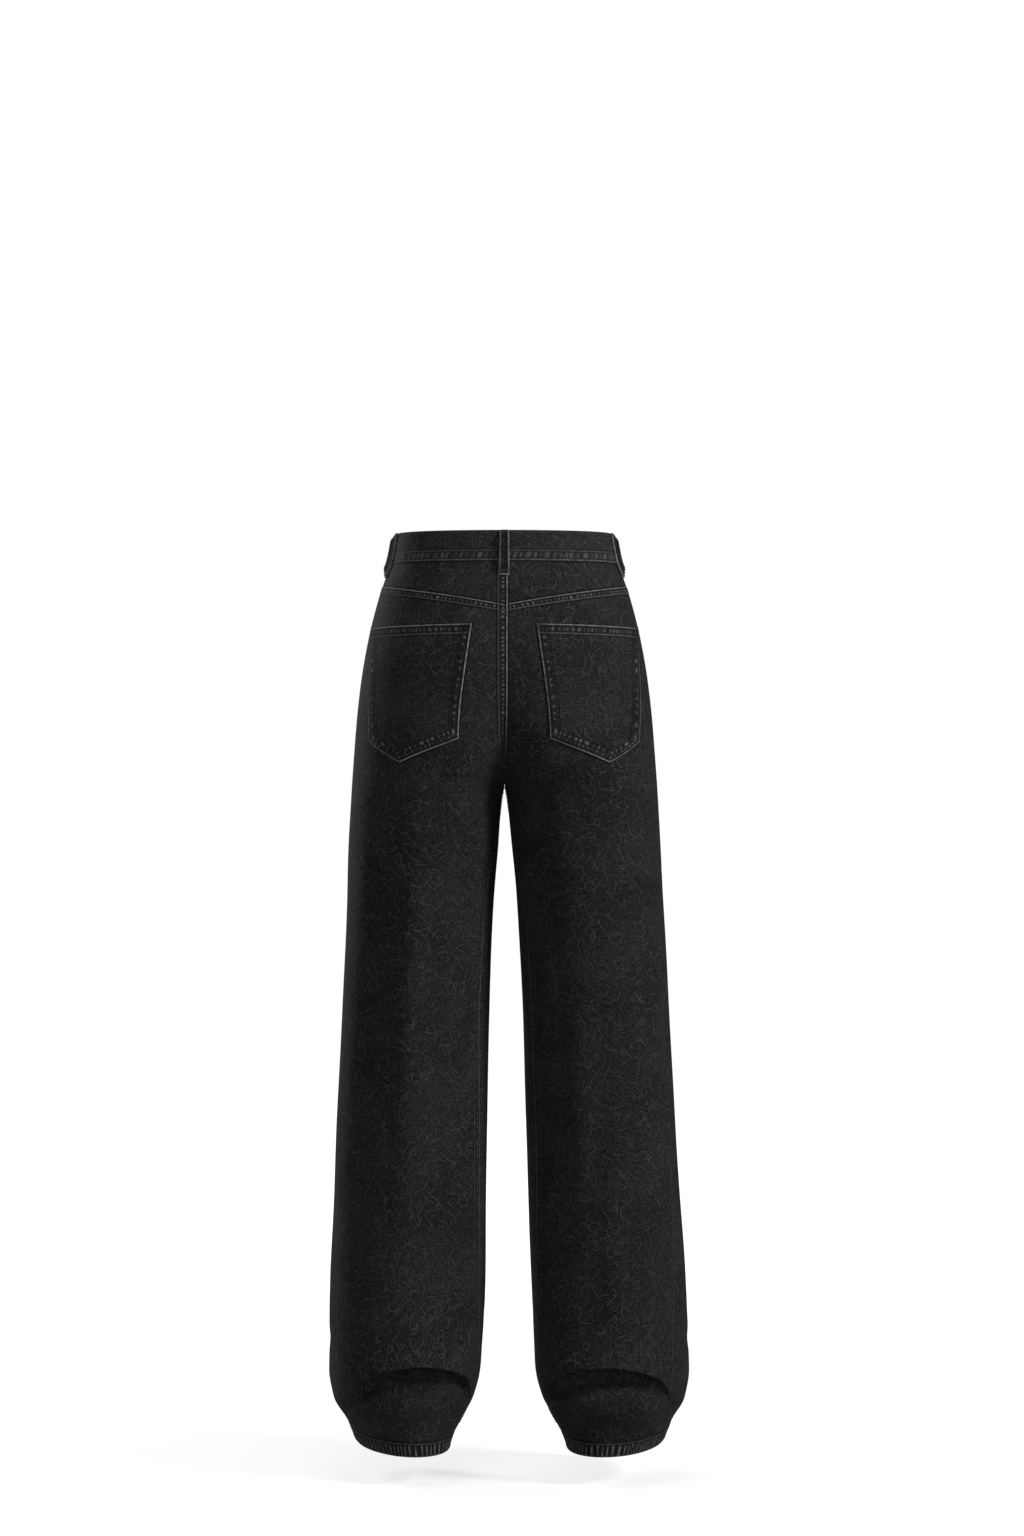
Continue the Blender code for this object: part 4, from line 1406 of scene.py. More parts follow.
@dataclass
class LegPanel:
    """A front or back leg panel, from its hem to the yoke or the waistband."""

    side: Side
    face: Face
    lap: float = 0.0117
    rows: int = 296
    fold_rows: int = 76
    columns: int = 74
    level_to: float = FORK + 0.06
    level_from: float = -1.0
    lowest: float = -1.111
    highest: float = -0.08
    folds_from: float = -1.076
    folds_to: float = -1.004
    about: float = 0.23
    ridge: float = 0.0004

    def shares(self) -> Grid:
        """The columns' shares of the width, closer together at the edges."""
        if self.face is Face.BACK:
            return edge_steps(self.about, self.columns)
        mouth = SIZES.mouth_share * np.sin(np.linspace(0, math.pi / 2, 44))
        rest = edge_steps(self.about, self.columns)
        rest = rest[rest > SIZES.mouth_share + 0.004]
        start = rest[rest < 0.02]
        return np.unique(np.concatenate([start, mouth, rest]))

    def heights(self, shares: Grid) -> Grid:
        """Heights of the grid's points: level in the leg, and following its two ends."""
        form = FORMS[self.side]
        low = SIZES.hem_top(form, self.face, shares) + SIZES.seam_gap
        if self.face is Face.BACK:
            high = SIZES.yoke(shares) - SIZES.seam_gap
        else:
            high = SIZES.mouth(shares)
        levels = np.linspace(self.lowest, self.highest, self.rows)
        levels = levels[(levels < self.folds_from - 0.002) | (levels > self.folds_to + 0.002)]
        close = np.linspace(self.folds_from, self.folds_to, self.fold_rows)
        levels = np.sort(np.concatenate([levels, close, FORK + np.array([0.0008, 0.0016])]))
        up = np.clip((levels - self.level_to) / (levels[-1] - self.level_to), 0, 1)[:, None]
        down = np.clip((levels - self.level_from) / (levels[0] - self.level_from), 0, 1)[:, None]
        height = np.repeat(levels[:, None], len(shares), axis=1)
        height = np.where(up > 0, self.level_to + up * (high - 0.01 - self.level_to), height)
        height = np.where(down > 0, self.level_from + down * (low - self.level_from), height)
        return np.concatenate([height, high[None, :] - EDGE_STEPS[::-1, None]])

    def trims(self, grid: Patch, from_top: Grid) -> tuple[Trim, ...]:
        """The panel's sewn edges: its top, its inner seam and its side seam, and a painted shadow round the
        back pocket and along the edge of the lap over the right side.
        """
        above = eased((grid.height - FORK) / 0.02)
        worn = eased((grid.height - FORK - 0.02) / 0.08)
        left = self.side is Side.LEFT
        # The last trim places a painted shadow beside the lap's edge on the right side and round the back
        # pocket.
        shade = np.ones_like(from_top) if left else grid.inner - LAP[-1] * lap_reach(grid.height)
        if self.face is Face.BACK:
            pocket = BackPocket(self.side).outside(grid.inner - LAP[-1] * grid.reach, grid.height)
            return (
                Trim(from_top, grid.across, 1.0),
                Trim(grid.inner, grid.height, (worn if left else 0) + (1 - above) * 0.45),
                Trim(grid.across, grid.height, 0.35),
                Trim(np.minimum(shade, pocket), grid.across, above),
            )
        shares = grid.across / np.maximum(grid.across + grid.inner, 0.01)
        at_mouth = eased((SIZES.mouth_share + 0.02 - shares) / 0.02)
        return (
            Trim(from_top, grid.across + grid.height, at_mouth),
            Trim(grid.inner, grid.height, (above * 0.7 if left else 0) + (1 - above) * 0.35),
            Trim(grid.across, grid.height, 0.35),
            Trim(shade, grid.height, above),
        )

    def build(self, finish: Material) -> list[Stitches]:
        """Makes the panel.

        Args:
            finish: its denim.

        Returns:
            Its runs of stitches.
        """
        shares = self.shares()
        grid = laid(self.side, self.face, shares, self.heights(shares))
        from_top = grid.height[-1:, :] - grid.height
        if self.face is Face.FRONT:
            from_top = self.from_mouth(grid, from_top)
        trims = self.trims(grid, from_top)
        form = FORMS[self.side]
        outer = form.lifted(grid.spot, grid.out, self.lift(trims, from_top, grid.reach), grid.past)
        inner = form.lifted(grid.spot, grid.out, grid.under(), grid.past)
        back = self.face is Face.BACK
        offset = (0.0 if back else 3.1) + (1.7 if self.side is Side.LEFT else 0.0)
        name = f"{self.face.value}_leg_{self.side.value}"
        across = grid.across * self.side.sign + offset
        flat, shape = ((0.325, 1.13), 0.7) if back else ((0.435, 1.13), 0.8)
        cloth = Cloth(name, outer, inner, across, grid.height + offset, trims)
        cloth.make(finish, Slot.DENIM, flat, shape, "waistband")
        return self.stitches()

    def from_mouth(self, grid: Patch, from_top: Grid) -> Grid:
        """The shortest way from each point to the front panel's curved top edge."""
        part = np.linspace(0, 1, 400)
        columns = np.arange(grid.across.shape[1]) / (grid.across.shape[1] - 1)
        edge = [np.interp(part, columns, line[-1]) for line in (grid.across, grid.height)]
        away = from_top.copy()
        close = grid.height > -0.16
        off = [line[close][:, None] - spots for line, spots in zip((grid.across, grid.height), edge)]
        away[close] = np.minimum(away[close], np.hypot(*off).min(axis=1))
        away[-1] = 0
        return away

    def lift(self, trims: tuple[Trim, ...], from_top: Grid, reach: Grid) -> Grid:
        """How far the cloth's face stands off the plain surface, by its seams and its lap."""
        lift = np.zeros_like(from_top)
        sizes = ((self.ridge, 0.008), (LAP_LIFT, self.lap), (self.ridge, 0.006))
        for trim, (ridge, width) in zip(trims, sizes):
            share = reach if ridge == LAP_LIFT else trim.strength
            lift = np.maximum(lift, ridge * share * eased((width + SEAM_STEP - trim.away) / SEAM_STEP))
        return rolled(lift, from_top, trims[1].away, trims[2].away)

    def run(self, share: Grid, height: Grid, lift: float) -> Stitches:
        """A run of stitches along shares of the width at some heights."""
        spot, out, _ = FORMS[self.side].spots(share, height, self.face)
        return stitch_run(FORMS[self.side].lifted(spot, out, lift), out)

    def stitches(self) -> list[Stitches]:
        """The runs of stitches on the panel."""
        left = self.side is Side.LEFT
        if self.face is Face.FRONT:
            return self.mouth() + (self.fly() if left else [])
        line = np.linspace(0.008, 0.995, 120)
        leg = np.linspace(SIZES.hem_end + 0.03, FORK - 0.004, 400)
        width = FORMS[self.side].width(leg, self.face)
        runs = [self.run(line, SIZES.yoke(line) - down, self.ridge) for down in ROWS]
        runs += [self.run(1 - inset / width, leg, self.ridge) for inset in ROWS]
        seat = np.linspace(FORK + 0.01, SIZES.yoke_back - 0.001, 160)
        return runs + (centre_rows(self.face, seat) if left else [])

    def mouth(self) -> list[Stitches]:
        """The double row round the pocket's mouth."""
        turn = np.linspace(0.02, math.pi / 2 - 0.015, 120)
        runs = []
        for inset in (0.002, 0.0082):
            line = (SIZES.mouth_share + inset / 0.21) * np.sin(turn)
            base = -SIZES.band_half - SIZES.dip(line) - SIZES.seam_gap
            runs.append(self.run(line, base - (SIZES.mouth_depth + inset) * np.cos(turn), self.ridge))
        return runs

    def fly(self) -> list[Stitches]:
        """The stitches of the fly: a hooked double row, and the rows of the seam below it."""
        runs = []
        wide, bend, hook = 0.037, -0.15, 0.03
        top = -SIZES.band_half - SIZES.front_dip - 0.001
        turn = np.linspace(0, math.pi / 2, 60)
        for inset in (wide, 0.031):
            far = np.concatenate([np.full(90, inset), inset * np.cos(turn) + 0.0005])
            low = bend - (hook - (wide - inset)) * np.sin(turn)
            height = np.concatenate([np.linspace(top, bend, 90), low])
            width = FORMS[self.side].width(height, self.face)
            runs.append(self.run(1 - far / width, height, 0.0))
        return runs + centre_rows(self.face, np.linspace(-0.182, FORK + 0.01, 120))


@dataclass
class Yoke:
    """The back yoke of one side."""

    side: Side
    about: float = 0.205
    lap: float = 0.0132
    rows: int = 26
    columns: int = 70

    def build(self, finish: Material) -> list[Stitches]:
        """Makes the yoke.

        Args:
            finish: its denim.

        Returns:
            Its runs of stitches, none on the right.
        """
        shares = edge_steps(self.about, self.columns)
        low, high = SIZES.yoke(shares), -SIZES.band_half - SIZES.seam_gap
        height = low + (high - low) * edge_steps(0.04, self.rows)[:, None]
        grid = laid(self.side, Face.BACK, shares, height)
        low = grid.height[:1]
        left = self.side is Side.LEFT
        # A painted shadow along the yoke's lower and upper edges, and beside the lap's edge on the right
        # side.
        shade = np.minimum(grid.height - low, high - grid.height)
        if not left:
            shade = np.minimum(shade, grid.inner - LAP[-1])
        trims = (
            Trim(shade, grid.across, 1.0),
            Trim(grid.inner, grid.height, 1.0 if left else 0.0),
            Trim(grid.across, grid.height, 0.3),
        )
        lift = (LAP_LIFT if left else 0.0) * eased((self.lap - grid.inner) / SEAM_STEP)
        lift = rolled(lift, grid.height - low, grid.across, grid.inner)
        form = FORMS[self.side]
        outer = form.lifted(grid.spot, grid.out, lift, grid.past)
        inner = form.lifted(grid.spot, grid.out, grid.under(), grid.past)
        across = grid.across * self.side.sign + 5.3
        cloth = Cloth(f"yoke_{self.side.value}", outer, inner, across, grid.height + 2.2, trims)
        cloth.make(finish, Slot.DENIM, (0.185, 0.058), 0.72, "waistband")
        if not left:
            return []
        return centre_rows(Face.BACK, np.linspace(SIZES.yoke_back + 0.001, high - 0.001, 40))


def roped(along: Grid, pitch: float, phase: float = 0.0) -> Grid:
    """Uneven ridges across a hem, from -1 to 1 along its length."""
    turn = along / pitch + 0.42 * np.sin(along * 61.0 + phase) + 0.22 * np.sin(along * 173.0 + 2 * phase)
    return np.sin(2 * math.pi * turn + phase)


@dataclass
class Hem:
    """The turned-up hem of one leg."""

    side: Side
    proud: float = 0.0008
    cloth: float = 0.0027
    stations: int = 420
    rows: int = 12
    pitch: float = 0.0062
    ridge: float = 0.00045
    sewn: float = 0.86

    def build(self, finish: Material) -> list[Stitches]:
        """Makes the hem.

        Args:
            finish: its denim.

        Returns:
            Its one run of stitches.
        """
        form = FORMS[self.side]
        angle = np.linspace(0, 2 * math.pi, self.stations, endpoint=False)
        low, high = [0, 0.02, 0.06, 0.12], [self.sewn, 0.92, 0.97, 1.0]
        level = np.concatenate([low, np.linspace(0.2, 0.8, self.rows), high])
        height = np.stack([SIZES.hem(part, angle) for part in level])
        angles = np.broadcast_to(angle, height.shape)
        spot, out = form.surface(angles, height)
        along = np.broadcast_to(run_lengths(spot[len(level) // 2]), height.shape)
        part = level[:, None] + 0 * height
        lean = along + 0.0016 * part
        rope = roped(lean, self.pitch, 1.0 if self.side is Side.LEFT else 2.6)
        shown = eased(part / 0.1) * eased((0.82 - part) / 0.14)
        away = part * SIZES.hem_height
        top_line = eased(1 - np.abs(part - self.sewn) / 0.1)
        lift = self.proud + self.ridge * rope * shown - 0.0004 * top_line
        lift = rolled(rolled(lift, away, roll=0.001), SIZES.hem_height - away)
        outer = spot + lift[..., None] * out
        inner = spot + (self.proud - self.cloth) * out
        trims = (Trim(away, along, 1.0), Trim(SIZES.hem_height - away, along, 1.0))
        name, across, up = f"hem_{self.side.value}", along + 7.1, height + 4.4
        cloth = Cloth(name, outer, inner, across, up, trims, rope * shown, closed=True)
        cloth.make(finish, Slot.FADED, (0.56, 0.022), 1.0, f"back_leg_{self.side.value}")
        row = np.argmin(np.abs(level - self.sewn))
        closed, normals = (np.concatenate([grid[row], grid[row][:1]]) for grid in (outer, out))
        return [stitch_run(closed, normals)]


@dataclass
class Waist:
    """The waistband, one strip whose left end laps over its right end at the front."""

    proud: float = 0.001
    cloth: float = 0.003
    overlap: float = 0.018
    underlap: float = 0.03
    ramp: float = 0.022
    sewn: float = 0.0125
    top_row: float = 0.0365
    low_row: float = 0.0016
    stations: int = 520

    def widths(self) -> tuple[float, float]:
        """The length round from the centre back to the side, and on to the centre front."""
        level = np.zeros(1)
        return tuple(float(FORMS[Side.LEFT].width(level, face)[0]) for face in Face)

    def spots(self, distance: Grid, height: Grid) -> Pair:
        """Points and normals round the waist.

        Args:
            distance: from the centre back, positive to the left, and on past the front.
            height: above the middle of the band, to which the band's dip is added.

        Returns:
            The points and the unit normals.
        """
        distance, height = np.broadcast_arrays(distance, height)
        shape = distance.shape
        distance, height = distance.ravel().astype(float), height.ravel().astype(float)
        back, front = self.widths()
        half = back + front
        around = (distance + half) % (2 * half) - half
        far = np.abs(around)
        part = np.clip((far - back) / front, 0, 1)
        level = height - SIZES.dip(part)
        points, normals = np.empty((len(around), 3)), np.empty((len(around), 3))
        for side, form in FORMS.items():
            mine = (around >= 0) == (side is Side.LEFT)
            for face, share, there in (
                (Face.BACK, 1 - far / back, mine & (far < back)),
                (Face.FRONT, part, mine & (far >= back)),
            ):
                if there.any():
                    angle, _ = form.angles(share[there], level[there], face, gap=0.0)
                    points[there], normals[there] = form.surface(angle, level[there])
        return points.reshape(*shape, 3), normals.reshape(*shape, 3)

    def build(self, finish: Material) -> list[Stitches]:
        """Makes the waistband.

        Args:
            finish: its denim.

        Returns:
            Its runs of stitches.
        """
        half = sum(self.widths())
        distance = np.linspace(-half - self.underlap, half + self.overlap, self.stations)
        away = edge_steps(2 * SIZES.band_half, 14) * 2 * SIZES.band_half
        height = away[:, None] - SIZES.band_half
        sunk = eased(1 - (distance + half - self.overlap) / self.ramp) * (self.cloth + SIZES.seam_gap)
        spot, out = self.spots(distance, height)
        away = np.broadcast_to(away[:, None], spot.shape[:2])
        along = np.broadcast_to(distance, away.shape)
        beads = roped(along, self.sewn, 0.7) * eased(away / 0.002) * eased((0.0118 - away) / 0.004)
        line = eased(1 - np.abs(away - self.sewn) / 0.0016)
        lift = self.proud - sunk + 0.0003 * beads - 0.0004 * line
        lift = rolled(lift, away, 2 * SIZES.band_half - away)
        outer = spot + lift[..., None] * out
        inner = spot + (self.proud - self.cloth - sunk)[..., None] * out
        trims = (Trim(away, along, 1.0), Trim(2 * SIZES.band_half - away, along, 0.6))
        cloth = Cloth("waistband", outer, inner, along + 9.7, away + 6.0, trims)
        cloth.make(finish, Slot.DENIM, (0.86, 0.04), 1.0)
        runs = []
        for up in (self.sewn, self.top_row, self.low_row):
            spot, out = self.spots(distance, np.full(self.stations, up) - SIZES.band_half)
            line = spot + (self.proud - sunk)[:, None] * out
            runs.append(stitch_run(line[8:-1], out[8:-1]))
        return runs


@dataclass
class BeltLoop:
    """A folded strip sewn to the band's top edge and below its lower edge."""

    name: str
    distance: float
    width: float = 0.0115
    low: float = -0.038
    high: float = 0.0186
    stand: float = 0.0062
    twist: float = 0.0
    cloth: float = 0.002
    gap: float = 0.0006
    bend: float = 0.2
    rows: int = 60
    columns: int = 13

    def build(self, finish: Material, waist: Waist) -> list[Stitches]:
        """Makes the loop.

        Args:
            finish: its denim.
            waist: the waistband that it stands on.

        Returns:
            Its stitches, with a bar tack at its lower end.
        """
        across = np.linspace(-1, 1, self.columns)
        share = np.linspace(0, 1, self.rows)
        height = self.low + (self.high - self.low) * share
        rise = eased(np.minimum(share, 1 - share) / self.bend)
        on_band = np.clip((height + SIZES.band_half) / waist.cloth + 1, 0, 1)
        seat = waist.proud * on_band + self.gap
        twist = self.twist * math.copysign(1.0, self.distance) * across
        under = (seat + (self.stand - seat) * rise)[:, None] + rise[:, None] * twist
        round_edge = 0.0006 * eased((np.abs(across) - 0.78) / 0.22)
        dished = 0.0003 * np.cos(across * math.pi / 2)
        thick = self.cloth - round_edge - dished
        spot, out = waist.spots(self.distance + across * self.width / 2, height[:, None])
        outer = spot + (under + thick)[..., None] * out
        inner = spot + under[..., None] * out
        length = self.high - self.low
        from_side = (1 - np.abs(across)) * self.width / 2 + 0 * under
        along = share[:, None] * length + 0 * across
        trims = (Trim(from_side, along + self.distance, 1.0), Trim(along, along, 1.0))
        offset = self.distance * 3 + 11.0
        place = across * self.width / 2 + offset + 0 * under
        cloth = Cloth(self.name, outer, inner, place, along + offset, trims)
        cloth.make(finish, Slot.FADED, (0.0125, 0.06), 1.0, "waistband")
        runs = [stitch_run(outer[4:-3, edge], out[4:-3, edge]) for edge in (1, self.columns - 2)]
        for row in (3, 5, self.rows - 4):
            runs.append(bar_tack(outer[row, 1], outer[row, -2], out[row, self.columns // 2]))
        return runs


def nearer(one: Pair, other: Pair) -> Pair:
    """The nearer of two edges at each point: the distance from it and along it."""
    first = one[0] < other[0]
    return np.where(first, one[0], other[0]), np.where(first, one[1], other[1])


@dataclass
class BackPocket:
    """A patch pocket with a pointed lower edge, sewn to the seat."""

    side: Side
    top: float = -0.099
    tilt: float = 0.0034
    top_inner: float = 0.04
    top_width: float = 0.165
    low_inner: float = 0.0615
    low_width: float = 0.1295
    length: float = 0.142
    point: float = 0.17
    point_share: float = 0.65
    cloth: float = 0.0013
    sewn: float = 0.0006
    loose: float = 0.001
    hem: float = 0.0114
    outer_scale: float = 0.62
    insets: tuple[float, float] = (0.0018, 0.0072)
    tack: tuple[float, float] = (0.006, 0.06)

    def place(self, across: Grid, down: Grid) -> Pair:
        """Distance from the centre back and height, at shares across and down the pocket."""
        low = np.minimum(across / self.point_share, (1 - across) / (1 - self.point_share))
        fall = self.length + (self.point - self.length) * low
        inner = self.top_inner + (self.low_inner - self.top_inner) * down
        width = self.top_width + (self.low_width - self.top_width) * down
        return inner + width * across, self.top - self.tilt * across - fall * down

    def edges(self, far: Grid, height: Grid) -> list[Pair]:
        """How far in from each edge a point lies, and how far along that edge.

        Args:
            far: distances from the centre back.
            height: heights.

        Returns:
            The pairs for the inner side, both lower edges, the outer side and the top.
        """
        corner_list = [(0.0, 0.0), (0.0, 1.0), (self.point_share, 1.0), (1.0, 1.0), (1.0, 0.0)]
        corners = [np.array(self.place(np.float64(a), np.float64(b))) for a, b in corner_list]
        made, run = [], 0.0
        for start, end in zip(corners, corners[1:] + corners[:1]):
            size = float(np.hypot(*(end - start)))
            line = (end - start) / size
            off, up = far - start[0], height - start[1]
            made.append((up * line[0] - off * line[1], off * line[0] + up * line[1] + run))
            run += size
        return made

    def outside(self, far: Grid, height: Grid) -> Grid:
        """How far outside the pocket's outline a point lies."""
        return -np.min([away for away, _ in self.edges(far, height)], axis=0)

    def build(self, finish: Material) -> list[Stitches]:
        """Makes the pocket.

        Args:
            finish: its denim.

        Returns:
            Its runs of stitches.
        """
        form = FORMS[self.side]
        near = edge_steps(self.top_width, 60)
        cut = np.argmin(np.abs(near - self.point_share))
        near[cut] = self.point_share
        across, down = near[None, :], edge_steps(self.length, 56)[:, None]
        far, height = self.place(across, down)
        far, height = np.broadcast_arrays(far, height)
        inner, low_inner, low_outer, outer, _ = self.edges(far, height)
        outer = (outer[0] * self.outer_scale, outer[1])
        side, low = nearer(inner, outer), nearer(low_inner, low_outer)
        away, along = nearer(side, low)
        from_top = (height[:1] - height) + 0 * far
        share = 1 - far / form.width(height, Face.BACK)
        spot, out, _ = form.spots(share, height, Face.BACK)
        flat = eased(away / 0.01)
        gap = self.sewn + (self.loose - self.sewn) * flat
        thick = self.cloth + 0.0004 * eased((0.0085 - np.minimum(away, from_top)) / 0.0012)
        thick = rolled(rolled(thick, away, drop=0.0006), from_top, drop=0.0004, roll=0.001)
        outer = form.lifted(spot, out, gap + thick)
        inner = form.lifted(spot, out, gap)
        below = eased((from_top - self.hem) / 0.004)
        trims = (Trim(from_top, far, 1.0), Trim(away, along, 1.0), Trim(*side, below), Trim(*low, 1.0))
        offset = 13.0 + self.side.sign
        name, across = f"back_pocket_{self.side.value}", far * self.side.sign + offset
        cloth = Cloth(name, outer, inner, across, height + offset, trims)
        cloth.make(finish, Slot.DENIM, (0.166, 0.17), 0.84, f"back_leg_{self.side.value}")
        return self.stitches()

    def row(
        self, start: tuple[float, float], end: tuple[float, float], count: int
    ) -> Pair:
        """A line just above the pocket between two places on it.

        Args:
            start: the first place, as shares across and down.
            end: the last place.
            count: how many points the line has.

        Returns:
            The line's points and normals.
        """
        form, part = FORMS[self.side], np.linspace(0, 1, count)
        across, down = (one + (other - one) * part for one, other in zip(start, end))
        far, height = self.place(across, down)
        spot, out, _ = form.spots(1 - far / form.width(height, Face.BACK), height, Face.BACK)
        return form.lifted(spot, out, self.sewn + self.cloth + 0.0003), out

    def stitches(self) -> list[Stitches]:
        """A double row round the sewn edges, two rows across the top, and a tack at each corner."""
        runs = []
        for inset in self.insets:
            side, low = inset / 0.15, inset / self.length
            point = (self.point_share, 1 - low * 1.02)
            corners = [(side, 0.0), (side, 1 - low), point, (1 - side, 1 - low), (1 - side, 0.0)]
            runs += [stitch_run(*self.row(*pair, 80)) for pair in zip(corners, corners[1:])]
        for inset in (0.002, self.hem - 0.0012):
            down = inset / self.length
            runs.append(stitch_run(*self.row((0.01, down), (0.99, down), 90)))
        for across in (0.012, 0.988):
            spot, out = self.row(*((across, down) for down in self.tack), 2)
            runs.append(bar_tack(spot[0], spot[1], out[0]))
        return runs


@dataclass
class PocketFacing:
    """The cloth seen in a front pocket's mouth, behind the front panel."""

    side: Side
    past: float = 0.014
    reach: float = 0.589
    behind: float = 0.0013
    taper: float = 0.98
    bent: float = 0.0016
    tucked: float = 0.007
    under: float = 0.0021

    def build(self, finish: Material) -> None:
        """Makes the facing.

        Args:
            finish: its denim.
        """
        form = FORMS[self.side]
        shares = np.linspace(0, self.reach, 48)
        top = -SIZES.band_half - SIZES.dip(shares) - SIZES.seam_gap
        scoop = np.sqrt(1 - (self.taper * shares / self.reach) ** 2)
        low = top - (SIZES.mouth_depth + self.past) * scoop
        height = low + (top - self.bent - low) * np.linspace(0, 1, 40)[:, None]
        tucked = np.array([-0.0011, -0.0006, -0.0001, 0.002, self.tucked])
        height = np.concatenate([height, top + tucked[:, None]])
        share = np.broadcast_to(shares, height.shape)
        spot, out, whole = form.spots(share, height, Face.FRONT)
        across = share * whole
        clear = eased((height - SIZES.mouth(share) - 0.002) / 0.008) * eased(1 - across / 0.016)
        below = eased((height - top + self.bent) / 0.0015)
        lift = -(SIZES.cloth + self.behind) * (1 - clear) * (1 - below) - self.under * below
        outer, inner = form.lifted(spot, out, lift), form.lifted(spot, out, lift - SIZES.cloth)
        name, place = f"pocket_facing_{self.side.value}", across * self.side.sign + 17.0
        cloth = Cloth(name, outer, inner, place, height + 3.0)
        cloth.make(finish, Slot.DENIM, (0.128, 0.094), 0.8, "waistband")


@dataclass
class FlyShield:
    """The strip of cloth behind the centre front opening."""

    left: float = 0.038
    right: float = 0.018
    end: float = -0.178
    behind: float = 0.0013

    def build(self, finish: Material) -> None:
        """Makes the shield.

        Args:
            finish: its denim.
        """
        top = -SIZES.band_half - SIZES.front_dip - SIZES.seam_gap
        height = np.linspace(self.end, top, 60)
        far = np.concatenate([np.linspace(-self.right, 0, 8)[:-1], np.linspace(0, self.left, 14)])
        columns = []
        for distance in far:
            form = FORMS[Side.LEFT if distance >= 0 else Side.RIGHT]
            share = 1 - abs(distance) / form.width(height, Face.FRONT)
            spot, out, _ = form.spots(share, height, Face.FRONT)
            if distance == 0:
                spot[:, 0], out[:, 0] = 0, 0
            columns.append((spot, out))
        spot, out = (np.stack([c[i] for c in columns], axis=1) for i in (0, 1))
        lift = -SIZES.cloth - self.behind
        across, up = np.meshgrid(far + 19.0, height)
        outer, inner = spot + lift * out, spot + (lift - SIZES.cloth) * out
        cloth = Cloth("fly_shield", outer, inner, across, up)
        cloth.make(finish, Slot.DENIM, (0.056, 0.149), 1.0, "waistband")


@dataclass
class Button:
    """A turned metal button with a rolled rim on the front of the waistband."""

    radius: float = 0.0085
    height: float = 0.0034
    gap: float = 0.0005
    steps: int = 64
    profile: tuple[tuple[float, float], ...] = (
        (0.0, 0.0), (0.6, 0.0), (0.72, 0.02), (0.86, 0.1), (0.96, 0.26), (1.0, 0.48), (0.99, 0.7),
        (0.95, 0.86), (0.89, 0.95), (0.83, 0.96), (0.79, 0.9), (0.76, 0.8), (0.72, 0.77), (0.6, 0.8),
        (0.42, 0.86), (0.24, 0.9), (0.1, 0.92), (0.0, 0.92),
    )

    def build(self, finish: Material, waist: Waist) -> None:
        """Makes the button.

        Args:
            finish: its metal.
            waist: the waistband that it stands on.
        """
        at = np.array([-self.radius, 0, self.radius])
        spot, out = waist.spots(np.full(3, sum(waist.widths())), at)
        up = (spot[2] - spot[0]) * (0, 1, 1)
        up /= np.linalg.norm(up)
        aside = np.array([1.0, 0.0, 0.0])
        normal = np.cross(aside, up)
        middle = spot[1] * (0, 1, 1) + (waist.proud + self.gap) * normal
        turns = np.linspace(0, 2 * math.pi, self.steps, endpoint=False)
        spokes = np.cos(turns)[:, None] * aside + np.sin(turns)[:, None] * up
        levels = [middle + self.height * h * normal for _, h in self.profile]
        rings = [spot + self.radius * r * spokes for (r, _), spot in zip(self.profile, levels)][1:-1]
        points = np.concatenate([levels[0][None], *rings, levels[-1][None]])
        faces = []
        for step in range(self.steps):
            after = (step + 1) % self.steps
            faces.append((0, 1 + step, 1 + after))
            for ring in range(len(rings) - 1):
                low, high = 1 + ring * self.steps, 1 + (ring + 1) * self.steps
                faces.append((low + step, high + step, high + after, low + after))
            rim = 1 + (len(rings) - 1) * self.steps
            faces.append((rim + step, len(points) - 1, rim + after))
        mesh = bpy.data.meshes.new("waist_button_metal")
        mesh.from_pydata(points.tolist(), [], faces)
        mesh.shade_smooth()
        finish_piece(placed("waist_button_metal", mesh), "waist_button", finish)


